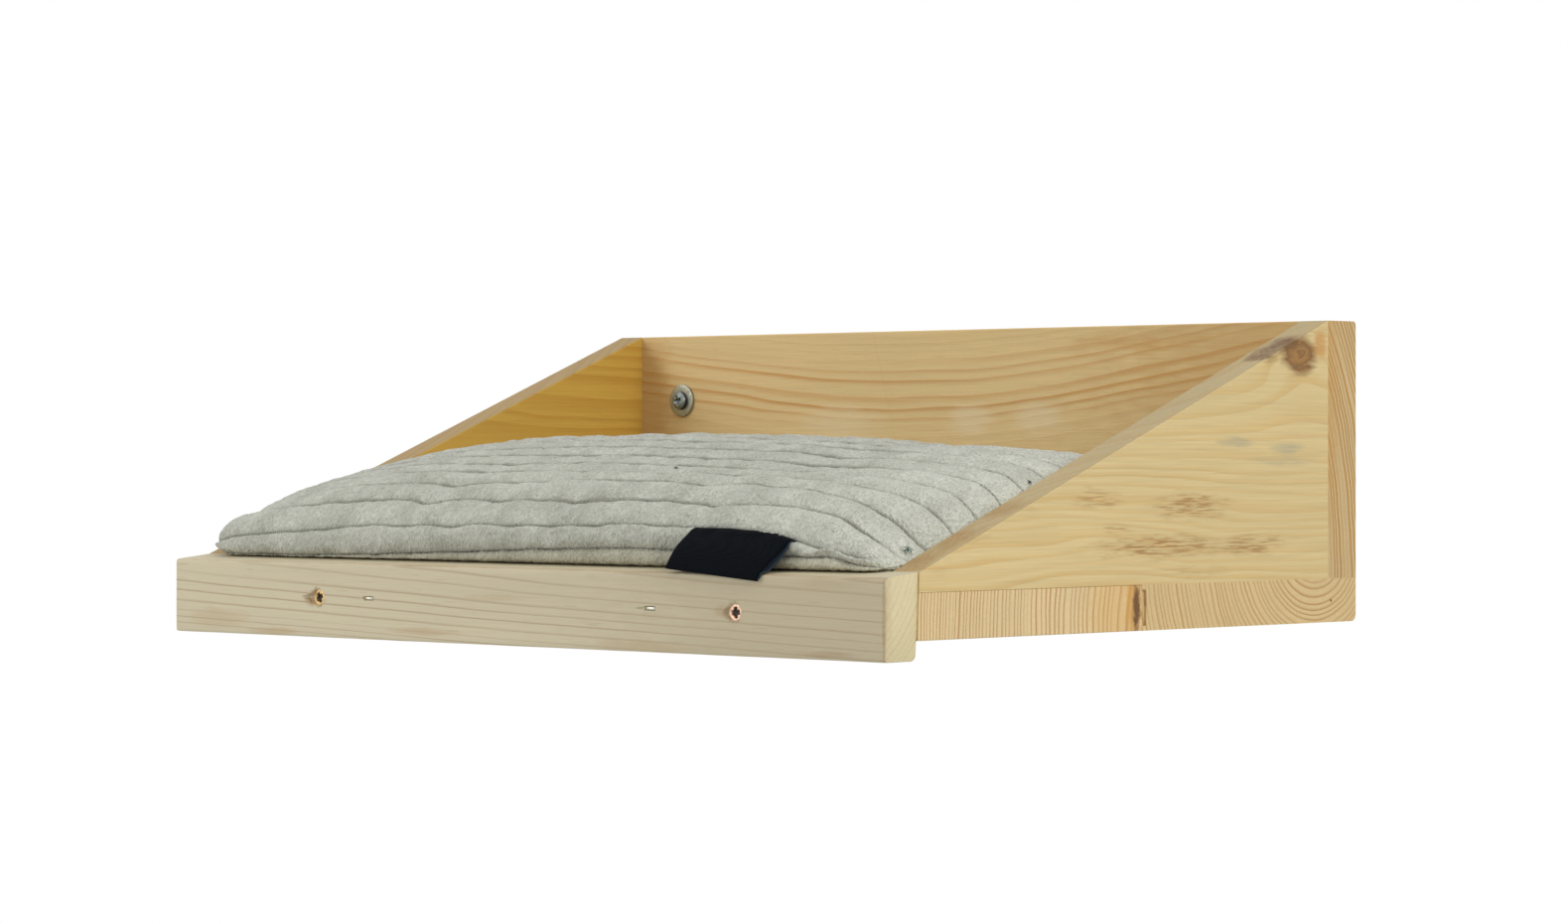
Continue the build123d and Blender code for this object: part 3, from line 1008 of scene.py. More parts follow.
@dataclass
class FrontRail:
    """The rail, with its torn screw holes and staple dents."""

    finishes: Finishes
    half_length: float = 0.2492
    front: float = RAIL_FRONT
    rear_top: float = -0.3205
    rear_bottom: float = RAIL_REAR
    bottom: float = -0.1210
    top_front: float = RAIL_TOP
    top_rear: float = -0.0815
    front_round: float = 0.0014
    rear_round: float = 0.0030
    top_round: float = 0.0005

    def __post_init__(self) -> None:
        """Places the hollows."""
        self.hollows = (
            Tear(RAIL_SCREWS["left"], RAIL_SCREW_HEIGHT, 0.0050, 0.0016, 0.0070, 3.1),
            Tear(RAIL_SCREWS["right"], RAIL_SCREW_HEIGHT, 0.0049, 0.0016, 0.0030, 8.4),
            Slit(STAPLES["left"], STAPLE_HEIGHT, 0.00345, 0.00090, 0.0012, 0.001),
            Slit(STAPLES["right"], STAPLE_HEIGHT, 0.00345, 0.00090, 0.0012, 0.005),
        )

    def _lines(self, low: float, high: float, pitch: float, fine: list[tuple]) -> np.ndarray:
        """Grid lines between two places, closer near some of them.

        Args:
            low: The first line.
            high: The last line.
            pitch: The usual spacing.
            fine: Each a middle, a reach and a closer spacing.

        Returns:
            The lines.
        """
        lines = [low]
        while lines[-1] < high - pitch * 0.2:
            here = lines[-1]
            step = pitch
            for middle, reach, close in fine:
                gap = abs(here - middle) - reach
                step = min(step, close + max(gap, 0.0) * 0.25)
            lines.append(here + step)
        lines[-1] = high
        return np.array(lines)

    def _corner(self, at: tuple, radius: float, start: float, end: float) -> list[tuple]:
        """The points of a rounded corner.

        Args:
            at: The arc's centre.
            radius: Its radius.
            start: The first angle.
            end: The last angle.

        Returns:
            The points.
        """
        angles = np.linspace(math.radians(start), math.radians(end), 5)
        return [(at[0] + radius * math.cos(t), at[1] + radius * math.sin(t)) for t in angles]

    def _outline(self) -> list[tuple[float, float]]:
        """The rail's section, up the front face, over the top and down the rear."""
        fine = [(RAIL_SCREW_HEIGHT, 0.0062, 0.00042), (STAPLE_HEIGHT, 0.0014, 0.00020)]
        r, q, t = self.front_round, self.rear_round, self.top_round
        face = self._lines(self.bottom + r, self.top_front - r, 0.0016, fine)
        points = self._corner((self.front + r, self.bottom + r), r, 270, 180)[:-1]
        points += [(self.front, z) for z in face]
        points += self._corner((self.front + r, self.top_front - r), r, 180, 95)[1:]
        points += [
            (y, self.top_front + (self.top_rear - self.top_front) * share)
            for y, share in ((-0.337, 0.25), (-0.331, 0.5), (-0.325, 0.78))
        ]
        points += self._corner((self.rear_top - t, self.top_rear - t), t, 90, 0)
        points += [(-0.3209, -0.095), (-0.3214, -0.108)]
        points += self._corner((self.rear_bottom - q, self.bottom + q), q, 0, -90)
        points += [(y, self.bottom) for y in (-0.329, -0.334, -0.338)]
        return points

    def build(self) -> bpy.types.Object:
        """Builds the rail."""
        fine = [(h.x, 0.0075, 0.00045) for h in self.hollows[:2]]
        fine += [(h.x - 0.001, 0.0056, 0.00026) for h in self.hollows[2:]]
        columns = self._lines(-self.half_length, self.half_length, 0.0040, fine)
        ends = [(0.0, 0.00045), (0.00016, 0.00016), (0.0005, 0.0)]
        columns = [-self.half_length + x for x, _ in ends] + [
            x for x in columns if abs(x) < self.half_length - 0.001
        ] + [self.half_length - x for x, _ in reversed(ends)]
        outline = self._outline()
        middle = ((self.front + self.rear_top) / 2, (self.bottom + self.top_front) / 2)
        points = []
        for x in columns:
            inset = next((i for d, i in ends if abs(abs(x) - self.half_length + d) < 1e-6), 0.0)
            for y, z in outline:
                sy = y - math.copysign(inset, y - middle[0])
                sz = z - math.copysign(inset, z - middle[1])
                sy += 0.00006 * lumps(x, sy, sz, 130)
                sz += 0.00008 * lumps(x, sy, sz, 55, 4.0)
                if y < self.front + 0.0003:
                    sy += sum(hollow.sink(x, z) for hollow in self.hollows)
                points.append((x, sy, sz))
        mesh = Mesh()
        mesh.add(points, tube_faces(len(columns), len(outline)))
        rail = mesh.piece(
            "front_rail_washed", [self.finishes.rail], Body.SHELF, "washed_wood", ["front_rail"]
        )
        sharpen(rail, 40.0)
        return rail


def sharpen(piece: bpy.types.Object, degrees: float) -> None:
    """Shades a piece's sharp edges as edges.

    Args:
        piece: The piece.
        degrees: The turn from which an edge is sharp.
    """
    piece.data.set_sharp_from_angle(angle=math.radians(degrees))


class Drive(Enum):
    """The shape of a screw's head."""

    FLAT = "flat"
    DOMED = "domed"


@dataclass
class Screw:
    """A wood screw with a tapering cross recess and a real thread."""

    name: str
    node: str
    seat: Point  # the middle of the head's underside or face
    drive: Drive
    head: float
    height: float
    core: float
    thread: float
    length: float
    thread_from: float
    pitch: float
    recess: float
    recess_depth: float
    finish: bpy.types.Material
    slot: str
    twist: float = 0.0
    arm_share: float = 0.115  # half a recess arm's width, as a share of its reach across
    around: int = 72

    def _face(self, radius: float, angle: float) -> float:
        """The head's height over its rim, at a place on its face.

        Args:
            radius: The place's distance from the axis.
            angle: Its angle.

        Returns:
            The height.
        """
        share = radius / (self.head / 2)
        if self.drive is Drive.DOMED:
            rise = self.height * (0.36 + 0.64 * math.sqrt(max(0.0, 1 - share**2.2)))
        else:
            rise = -0.00012 * ease((share - 0.86) / 0.14)
        turn = (angle - self.twist) % (math.pi / 2)
        turn = min(turn, math.pi / 2 - turn)
        along, over = radius * math.cos(turn), radius * math.sin(turn)
        reach = self.recess / 2
        half = self.recess * self.arm_share + 0.00035 * max(0.0, 1 - along / reach)
        inside = (1 - ease((over - half) / 0.00022)) * (1 - ease((along - reach) / 0.0002))
        taper = math.sqrt(max(0.0, 1 - min(along / reach, 1.0) * 0.85))
        return rise - self.recess_depth * inside * taper

    def _rings(self) -> list[tuple[float, Callable[[float], float]]]:
        """The head's and shank's rings, each a radius rule and a height rule by angle."""
        edge = self.head / 2
        rings = []
        for share in np.linspace(0.03, 1.0, 26):
            radius = edge * float(share)
            rings.append((lambda a, r=radius: r, lambda a, r=radius: self._face(r, a)))
        if self.drive is Drive.DOMED:
            for inset, drop in ((0.0, 0.5), (0.0, 0.92), (0.0003, 1.0)):
                low = self._face(edge, math.pi / 8) * (1 - drop)
                rings.append((lambda a, r=edge - inset: r, lambda a, z=low: z))
            start = 0.0
        else:
            start = -self.height
        rings.append((lambda a: self.core / 2, lambda a, z=start: z))
        if self.thread_from > -start + 0.0005:
            rings.append((lambda a: self.core / 2, lambda a, z=-self.thread_from: z))
        steps = int((self.length - self.thread_from) / (self.pitch / 8))
        for step in range(steps + 1):
            z = -self.thread_from - (self.length - self.thread_from) * step / steps
            left = self.length + z
            narrow = min(1.0, left / 0.006)
            swell = ease((-z - self.thread_from) / self.pitch) * narrow

            def radius_at(angle: float, z: float = z, narrow: float = narrow, s: float = swell):
                phase = (z / self.pitch + angle / (2 * math.pi)) % 1.0
                ridge = max(0.0, 1 - abs(phase - 0.5) / 0.26)
                return self.core / 2 * max(narrow, 0.03) + (self.thread - self.core) / 2 * ridge * s

            rings.append((radius_at, lambda a, z=z: z))
        return rings

    def build(self) -> bpy.types.Object:
        """Builds the screw, its axis along Y, its head towards the room."""
        rings = self._rings()
        angles = [2 * math.pi * k / self.around for k in range(self.around)]
        points = [
            (
                self.seat[0] + radius(a) * math.cos(a),
                self.seat[1] - height(a),
                self.seat[2] + radius(a) * math.sin(a),
            )
            for radius, height in rings
            for a in angles
        ]
        mesh = Mesh()
        faces = [face[::-1] for face in grid_faces(len(rings), self.around, closed=True)]
        mesh.add(points, faces)
        crown = (self.seat[0], self.seat[1] - self._face(0.0, 0.0), self.seat[2])
        tip = (self.seat[0], self.seat[1] + self.length, self.seat[2])
        last = (len(rings) - 1) * self.around
        top, end = len(points), len(points) + 1
        mesh.points += [crown, tip]
        for k in range(self.around):
            after = (k + 1) % self.around
            mesh.faces += [(top, after, k), (end, last + k, last + after)]
            mesh.finishes += [0, 0]
        made = mesh.piece(self.name, [self.finish], Body.SHELF, self.slot, [self.node])
        sharpen(made, 50.0)
        return made


@dataclass
class Washer:
    """A large plated washer with rolled edges."""

    name: str
    node: str
    x: float
    finish: bpy.types.Material
    outer: float = 0.009
    hole: float = 0.00275
    thick: float = WASHER_THICK
    round: float = 0.0004
    around: int = 96

    def build(self) -> bpy.types.Object:
        """Builds the washer flat against the back board."""
        r, face = self.round, self.thick
        section = [(self.hole, 0.0), (self.hole, face - r)]
        section += [
            (self.hole + r * (1 - math.cos(t)), face - r + r * math.sin(t))
            for t in np.linspace(0.3, math.pi / 2, 4)
        ]
        section += [
            (self.outer - r * (1 - math.sin(t)), face - r + r * math.cos(t))
            for t in np.linspace(0.0, math.pi / 2, 6)
        ]
        section += [(self.outer, 0.0002), (self.outer - 0.0002, 0.0)]
        points = []
        for radius, height in section:
            for k in range(self.around):
                a = 2 * math.pi * k / self.around
                dish = 0.00006 * math.sin(2 * a + 1.0) * (radius / self.outer) * (height > 0.0005)
                points.append(
                    (
                        self.x + radius * math.cos(a),
                        BACK_FRONT - height - dish,
                        radius * math.sin(a),
                    )
                )
        count = len(section)
        faces = grid_faces(count, self.around, closed=True)
        wrap = (count - 1) * self.around
        for k in range(self.around):
            after = (k + 1) % self.around
            faces.append((wrap + k, wrap + after, after, k))
        mesh = Mesh()
        mesh.add(points, [face[::-1] for face in faces])
        made = mesh.piece(self.name, [self.finish], Body.SHELF, "zinc", [self.node])
        sharpen(made, 45.0)
        return made


@dataclass
class Staple:
    """A staple of flat wire, its crown a little bent and its legs in the rail."""

    name: str
    node: str
    x: float
    finish: bpy.types.Material
    z: float = STAPLE_HEIGHT
    crown: float = 0.0064
    wire: float = 0.0010
    height: float = 0.0013
    leg: float = 0.0150
    sink: float = 0.0004
    bend: float = 0.0006

    def build(self) -> bpy.types.Object:
        """Builds the staple as one bent wire."""
        half, r = self.crown / 2 - self.wire / 2, self.bend
        face = RAIL_FRONT + self.sink + self.wire / 2
        end = RAIL_FRONT + self.sink + self.leg
        path = [(-half, end), (-half, end - 0.004), (-half, face + 0.004), (-half, face + r)]
        path += [(-half + r * (1 - math.cos(t)), face + r * (1 - math.sin(t))) for t in (0.5, 1.05)]
        path += [(x, face + 0.00003 * math.sin(x * 900)) for x in np.linspace(-half + r, half - r, 7)]
        path += [(half - r * (1 - math.sin(t)), face + r * (1 - math.cos(t))) for t in (0.5, 1.05)]
        path += [(half, face + r), (half, face + 0.004), (half, end - 0.004), (half, end)]
        section = [
            (math.copysign(abs(math.cos(t)) ** 0.5, math.cos(t)) * self.wire / 2,
             math.copysign(abs(math.sin(t)) ** 0.5, math.sin(t)) * self.height / 2)
            for t in np.linspace(0, 2 * math.pi, 17)[:-1]
        ]
        points = []
        for i, (px, py) in enumerate(path):
            before, after = path[max(i - 1, 0)], path[min(i + 1, len(path) - 1)]
            dx, dy = after[0] - before[0], after[1] - before[1]
            run = math.hypot(dx, dy)
            nx, ny = -dy / run, dx / run
            points += [(self.x + px + nx * s, py + ny * s, self.z + t) for s, t in section]
        mesh = Mesh()
        mesh.add(points, tube_faces(len(path), len(section)))
        made = mesh.piece(self.name, [self.finish], Body.SHELF, "staple_steel", [self.node])
        sharpen(made, 50.0)
        return made


@dataclass(frozen=True)
class Pucker:
    """A place where a seam is drawn down: the seam's number, its place, dip and reach."""

    seam: int
    x: float
    dip: float
    reach: float


@dataclass
class Cushion:
    """The quilted plush cushion: a top panel of sewn channels and a plain bottom panel."""

    finishes: Finishes
    half_length: float = 0.2327
    front: float = -0.3340
    back: float = -0.0252
    bottom: float = -0.0902
    fold: float = -0.0773
    crown: float = -0.0211
    roll: float = 0.0037
    front_roll: float = 0.0042
    seam_depth_shares: tuple[float, ...] = (
        0.020, 0.026, 0.070, 0.124, 0.184, 0.245, 0.306, 0.367, 0.430,
        0.494, 0.558, 0.622, 0.686, 0.750, 0.814, 0.875, 0.931, 0.972, 0.988,
    )
    seam_rise_shares: tuple[float, ...] = (
        0.0, 0.243, 0.437, 0.586, 0.665, 0.745, 0.815, 0.89, 0.95,
        0.985, 1.0, 0.99, 0.955, 0.91, 0.855, 0.775, 0.64, 0.35, 0.0,
    )
    place_shares: tuple[float, ...] = (
        0.0, 0.0015, 0.004, 0.010, 0.024, 0.050, 0.10, 0.20, 0.38,
        0.62, 0.74, 0.84, 0.90, 0.952, 0.98, 0.992, 0.997, 1.0,
    )
    rise_shares: tuple[float, ...] = (
        0.0, 0.24, 0.45, 0.69, 0.81, 0.875, 0.93, 0.975, 1.0,
        0.96, 0.905, 0.865, 0.83, 0.76, 0.61, 0.41, 0.24, 0.0,
    )
    front_place_shares: tuple[float, ...] = (
        0.0, 0.003, 0.0185, 0.06, 0.126, 0.18, 0.27, 0.45, 0.60,
        0.72, 0.80, 0.866, 0.922, 0.955, 0.975, 0.990, 1.0,
    )
    front_rise_shares: tuple[float, ...] = (
        0.0, 0.40, 0.66, 0.77, 0.86, 0.94, 0.98, 1.02, 1.05,
        1.03, 0.97, 0.87, 0.69, 0.45, 0.27, 0.10, 0.0,
    )
    front_weights: tuple[float, ...] = (0.0, 1.0, 1.0, 0.85, 0.35, 0.12)
    first_seam_places: tuple[float, ...] = (
        -0.2327, -0.175, -0.128, -0.05, 0.165, 0.190, 0.205, 0.2327,
    )
    first_seam_shares: tuple[float, ...] = (0.48, 0.73, 0.87, 1.0, 1.0, 0.72, 0.42, 0.30)
    fold_places: tuple[float, ...] = (
        -0.2327, -0.18, -0.12, -0.0425, 0.0, 0.08, 0.176, 0.200, 0.222, 0.2327,
    )
    fold_lifts: tuple[float, ...] = (
        -0.0034, -0.0034, -0.0023, 0.0002, 0.0018, 0.0036, 0.0015, 0.0016, -0.0019, -0.0034,
    )
    puckers: tuple[Pucker, ...] = (
        Pucker(1, -0.085, 0.0018, 0.022),
        Pucker(2, -0.085, 0.0040, 0.015),
        Pucker(3, -0.083, 0.0032, 0.013),
        Pucker(3, -0.012, 0.0024, 0.008),
        Pucker(2, 0.020, 0.0012, 0.010),
        Pucker(2, 0.117, 0.0024, 0.012),
        Pucker(3, 0.095, 0.0018, 0.014),
        Pucker(4, 0.030, 0.0016, 0.014),
        Pucker(5, -0.060, 0.0014, 0.018),
        Pucker(7, 0.110, 0.0014, 0.016),
        Pucker(9, -0.100, 0.0016, 0.020),
        Pucker(12, 0.060, 0.0016, 0.018),
    )
    steps: int = 8  # rows to a channel
    columns: int = 160
    end_crowding: float = 1.35
    corner: float = 0.012
    cap: float = 0.0011
    slack: float = 0.013
    ledge: float = -0.0812  # the strip's underside, on the rail
    ledge_back: float = -0.3202
    tip_reach: float = 0.0100  # how far the front left corner swells past the end
    over_panel_height: float = -0.0785  # above this the swollen corner clears the side panel
    over_panel_back: float = -0.316
    wave: float = 0.0024  # how far the seams wander
    ripple: float = 0.0009
    uneven_share: float = 0.14  # how much the channels' fullness varies
    rear_flat_share: float = 0.38  # how much flatter the channels behind the third are
    press_place: float = 0.147  # where the label presses the front roll down
    press_reach: float = 0.038
    press_share: float = 0.45
    bulge_from: float = 0.175  # where the second channel starts to swell at the right
    bulge_run: float = 0.03
    bulge_share: float = 0.55
    frames: int = 20  # of the cloth simulation

    def __post_init__(self) -> None:
        """Works out the grid's columns."""
        side = np.linspace(-1, 1, self.columns)
        self.x = self.half_length * np.sign(side) * (1 - (1 - np.abs(side)) ** self.end_crowding)
        share = (self.x / self.half_length + 1) / 2
        self.rise = through(share, self.place_shares, self.rise_shares)
        front = through(share, self.front_place_shares, self.front_rise_shares)
        first = through(self.x, self.first_seam_places, self.first_seam_shares)
        self.channels = len(self.seam_depth_shares) - 1
        weights = [*self.front_weights, *[0.0] * (self.channels + 1 - len(self.front_weights))]
        self.rises = [self.rise * (1 - weight) + front * weight for weight in weights]
        self.rises[1] = self.rises[1] * first
        self.rows = self.channels * self.steps + 1
        self.seam_rows = [number * self.steps for number in range(self.channels + 1)]

    def _draw(self, x: float) -> float:
        """How far the rounded corners draw the front and back in at a place."""
        short = max(0.0, self.corner - (self.half_length - abs(x)))
        return self.corner - math.sqrt(self.corner**2 - short**2)

    def _fold_lift(self, x: float) -> float:
        """How far the front fold lies off its usual height at a place."""
        lift = through(np.array([x]), self.fold_places, self.fold_lifts)[0]
        return float(lift) + 0.0004 * lumps(x, 0, 0, 60, 2.0)

    def _rim(self, x: float, y: float) -> float:
        """The height at which the two panels meet round the ends."""
        near = 1 - ease((self.half_length - abs(x)) / 0.020)
        return self.fold + self._fold_lift(x) * near * (1 - ease((y - self.front) / 0.040))

    def _seam(self, number: int, column: int) -> np.ndarray:
        """A seam's place at a column.

        Args:
            number: The seam, counted from the front fold.
            column: The grid's column.

        Returns:
            The point.
        """
        x = float(self.x[column])
        draw = self._draw(x)
        front, back = self.front + draw, self.back - draw
        rise = self.seam_rise_shares[number]
        y = front + (back - front) * self.seam_depth_shares[number]
        if number == 0:
            return np.array((x, y, self.fold + self._fold_lift(x)))
        z = self._rim(x, y) + (self.crown - self.fold) * rise * float(self.rises[number][column])
        if number == self.channels:
            return np.array((x, y, z))
        calm = min(1.0, 0.30 + 0.70 * (self.half_length - abs(x)) / 0.04)
        wave = self.wave * lumps(x, number * 0.31, 0, 15, number * 3.7)
        wave += self.ripple * lumps(x, number * 0.31, 0, 48, number * 5.1)
        dips = (
            p.dip * math.exp(-(abs((x - p.x) / p.reach) ** 1.4))
            for p in self.puckers
            if p.seam == number
        )
        drop = wave - sum(dips)
        steep = min(1.0, 6 * (rise - self.seam_rise_shares[number - 1]))
        ahead = drop * calm * (1 - 0.5 * max(steep, 0.0))
        up = drop * calm * max(steep, 0.15) * 0.9
        return np.array((x, y + ahead, z + up))

    def _arch(self, share: float) -> float:
        """How full a channel is, at a share of the way from one seam to the next."""
        return (1 - abs(2 * share - 1) ** 2.3) ** 0.54

    def _top_grid(self) -> np.ndarray:
        """The top panel's points, row by row from the front fold to the back one."""
        grid = np.zeros((self.rows, self.columns, 3))
        shares = [(1 - math.cos(math.pi * step / self.steps)) / 2 for step in range(self.steps + 1)]
        for column in range(self.columns):
            seams = [self._seam(number, column) for number in range(self.channels + 1)]
            x = float(self.x[column])
            fullness = ease(float(self.rise[column]) * 1.5)
            for number, (first, second) in enumerate(zip(seams, seams[1:])):
                run = second - first
                out = np.array((0.0, -run[2], run[1])) / max(math.hypot(run[1], run[2]), 1e-6)
                plump = 1 + self.uneven_share * lumps(x, number * 0.17, 0, 20, 9.0 + number)
                flat = self.rear_flat_share * ease((number - 2) / 3)
                height = self.roll * plump * fullness * (1 - flat)
                if number > 1:
                    height *= 0.30 + 0.70 * ease((x + self.half_length) / 0.09)
                if number == 0:
                    pressed = math.exp(-(((x - self.press_place) / self.press_reach) ** 4))
                    height *= self.front_roll / self.roll * (1 - self.press_share * pressed)
                if number == 1:
                    height *= 1 + self.bulge_share * ease((x - self.bulge_from) / self.bulge_run)
                for step, share in enumerate(shares):
                    lean = share**0.85 if number == 0 else share
                    point = first + run * share + out * height * self._arch(lean)
                    grid[number * self.steps + step, column] = point
        return grid

    def _bottom_grid(self, top: np.ndarray) -> np.ndarray:
        """The bottom panel's points: the strip on the rail, the underside, and up the back.

        Args:
            top: The top panel's points.

        Returns:
            The points, row by row from the front fold.
        """
        ledge, ledge_back = self.ledge, self.ledge_back
        lines = []
        for column in range(self.columns):
            x = float(self.x[column])
            down = ease((self.half_length - abs(x)) / 0.006)
            fold, rear = top[0, column], top[-1, column]
            height = max(fold[2] - ledge, 0.0004)
            swell = min(0.0026, height * 0.5) * (1 + 0.3 * lumps(x, 0, 0, 40, 6.0))
            profile = [
                (fold[1] - swell * math.sin(turn) - 0.0004 * turn, fold[2] - height * drop)
                for turn, drop in ((0.55, 0.10), (1.1, 0.28), (1.57, 0.52), (2.1, 0.76), (2.7, 0.95))
            ]
            profile += [
                (fold[1] + 0.0018, ledge - 0.0004),
                ((fold[1] + ledge_back) / 2, ledge),
                (ledge_back - 0.0006, ledge),
                (ledge_back, ledge - 0.0008),
                (ledge_back, self.bottom + 0.0012),
                (ledge_back + 0.0012, self.bottom),
            ]
            profile += [(y, self.bottom) for y in np.linspace(-0.300, -0.042, 12)]
            profile += [
                (rear[1] - 0.006, self.bottom + 0.0004),
                (rear[1] - 0.0018, self.bottom + 0.0030),
                (rear[1] - 0.0002, self.bottom + 0.0070),
            ]
            line = [fold]
            for y, z in profile:
                rim = self._rim(x, y)
                line.append(np.array((x, min(y, rear[1]), rim - (rim - z) * down)))
            line.append(rear)
            lines.append(line)
        return np.array(lines).transpose(1, 0, 2)

    def _swell_tip(self, grid: np.ndarray) -> None:
        """Swells the front left corner out over the low end of the left side panel.

        Args:
            grid: The points, which are moved.
        """
        for p in grid.reshape(-1, 3):
            near = ease((0.034 - (p[0] + self.half_length)) / 0.034)
            low = ease((-0.3100 - p[1]) / 0.010)
            high = ease((p[2] - self.ledge) / 0.007) * ease((-0.050 - p[2]) / 0.014)
            p[0] -= self.tip_reach * near * low * high

    def _inflate(self, grid: np.ndarray) -> np.ndarray:
        """Lets pressure plump the slack cloth between its seams.

        Args:
            grid: The top panel's points.

        Returns:
            The points after it, none of them moved past the cap.
        """
        draft = bpy.data.meshes.new("cushion_draft")
        draft.from_pydata(
            [tuple(p) for p in grid.reshape(-1, 3)], [], grid_faces(self.rows, self.columns)
        )
        piece = stand("cushion_draft", draft)
        edge = (0, 1, self.columns - 2, self.columns - 1)
        sewn = [row * self.columns + c for row in self.seam_rows for c in range(self.columns)]
        sewn += [row * self.columns + c for row in range(self.rows) for c in edge]
        piece.vertex_groups.new(name="sewn").add(sorted(set(sewn)), 1.0, "REPLACE")
        cloth = piece.modifiers.new("cloth", "CLOTH")
        settings = cloth.settings
        settings.quality = 6
        settings.mass = 0.3
        settings.vertex_group_mass = "sewn"
        settings.tension_stiffness = 14
        settings.compression_stiffness = 14
        settings.shear_stiffness = 5
        settings.bending_stiffness = 0.25
        settings.shrink_min = -self.slack
        settings.use_pressure = True
        settings.uniform_pressure_force = 4.0
        settings.effector_weights.gravity = 0
        cloth.collision_settings.use_collision = False
        cloth.collision_settings.use_self_collision = False
        cloth.point_cache.frame_start = 1
        cloth.point_cache.frame_end = self.frames
        scene = bpy.context.scene
        for number in range(1, self.frames + 1):
            scene.frame_set(number)
        settled = piece.evaluated_get(bpy.context.evaluated_depsgraph_get())
        moved = np.zeros(grid.size)
        settled.data.vertices.foreach_get("co", moved)
        scene.frame_set(1)
        bpy.data.objects.remove(piece)
        move = moved.reshape(grid.shape) - grid
        far = np.linalg.norm(move, axis=2, keepdims=True)
        held = grid + move * np.minimum(1.0, self.cap / np.maximum(far, 1e-9))
        held[..., 1] = np.minimum(held[..., 1], self.back - 0.0003)
        high, ahead = held[..., 2] > self.over_panel_height, held[..., 1] < self.over_panel_back
        limit = np.where(high & ahead, self.half_length + self.tip_reach, self.half_length)
        held[..., 0] = np.clip(held[..., 0], -limit, self.half_length)
        return held

    def _subdivide(self, piece: bpy.types.Object) -> None:
        """Subdivides a piece once and keeps the result as its mesh.

        Args:
            piece: The piece.
        """
        smooth = piece.modifiers.new("smooth", "SUBSURF")
        smooth.levels = smooth.render_levels = 1
        settled = piece.evaluated_get(bpy.context.evaluated_depsgraph_get())
        fine = bpy.data.meshes.new_from_object(settled)
        piece.modifiers.clear()
        coarse = piece.data
        piece.data = fine
        bpy.data.meshes.remove(coarse)

    def _raise_pile(self, piece: bpy.types.Object) -> None:
        """Roughens the plush into soft clumps, less in the seams.

        Args:
            piece: The piece, whose points are moved.
        """
        data = piece.data
        count = len(data.vertices)
        points, normals = np.zeros(count * 3), np.zeros(count * 3)
        data.vertices.foreach_get("co", points)
        data.vertices.foreach_get("normal", normals)
        points, normals = points.reshape(-1, 3), normals.reshape(-1, 3)
        seam = np.zeros(count)
        if "seam_line" in data.attributes:
            data.attributes["seam_line"].data.foreach_get("value", seam)
        lift = np.array(
            [
                0.00024 * lumps(*p, 300, 1.0)
                + 0.00046 * lumps(*p, 620, 5.0)
                + 0.00016 * lumps(p[0], p[1] * 0.35, p[2] * 0.35, 130, 9.0)
                for p in points
            ]
        )
        points = points + normals * (lift * (1 - 0.7 * seam))[:, None]
        data.vertices.foreach_set("co", points.ravel())
        data.update()

    def _mark_seams(self, cover: bpy.types.Object) -> None:
        """Creases the seams, and marks them and the foot of the roll behind each for the plush's
        painted seam shade.

        Args:
            cover: The top panel.
        """
        data = cover.data
        pairs = np.zeros(len(data.edges) * 2, dtype=int)
        data.edges.foreach_get("vertices", pairs)
        rows = pairs.reshape(-1, 2) // self.columns
        sewn = np.isin(rows[:, 0], self.seam_rows[1:-1]) & (rows[:, 0] == rows[:, 1])
        crease = data.attributes.new("crease_edge", "FLOAT", "EDGE")
        crease.data.foreach_set("value", np.where(sewn, 0.9, 0.0).astype(np.float32))
        line = data.attributes.new("seam_line", "FLOAT", "POINT")
        row_of = np.arange(self.rows * self.columns) // self.columns
        past, number = row_of % self.steps, row_of // self.steps
        column_of = np.arange(self.rows * self.columns) % self.columns
        # How dark the painted seam shade is on each row: the seam, one or two rows up the roll behind
        # it, and the row before it; fainter towards the right end.
        aside = np.array([ease((x - 0.10) / 0.10) for x in self.x])[column_of]
        first = np.where(number > 3, 0.95 - 0.35 * aside, np.where(number > 1, 0.70, 0.45))
        second = np.where(number > 3, 0.55 - 0.40 * aside, 0.0)
        values = np.select(
            [past == 0, past == 1, past == 2, past == self.steps - 1],
            [np.ones(len(past)), first, second, 0.25 - 0.2 * aside],
            0.0,
        )
        line.data.foreach_set("value", values.astype(np.float32))

    def build(self) -> bpy.types.Object:
        """Builds both panels and the stitches.

        Returns:
            The top panel.
        """
        top = self._top_grid()
        bottom = self._bottom_grid(top)
        self._swell_tip(top)
        self._swell_tip(bottom)
        top = self._inflate(top)
        self.top = top
        upper = Mesh()
        upper.add(top.reshape(-1, 3), grid_faces(self.rows, self.columns))
        cover = upper.piece(
            "cushion_quilted_top",
            [self.finishes.plush],
            Body.CUSHION,
            "plush",
            ["cushion_top_panel", "cushion_filling"],
        )
        self._mark_seams(cover)
        lower = Mesh()
        faces = [face[::-1] for face in grid_faces(len(bottom), self.columns)]
        lower.add(bottom.reshape(-1, 3), faces)
        underside = lower.piece(
            "cushion_plain_bottom",
            [self.finishes.shaded_warm_plush],
            Body.CUSHION,
            "plush",
            ["cushion_bottom_panel"],
        )
        for piece in (cover, underside):
            self._subdivide(piece)
            self._raise_pile(piece)
        self._stitches()
        return cover

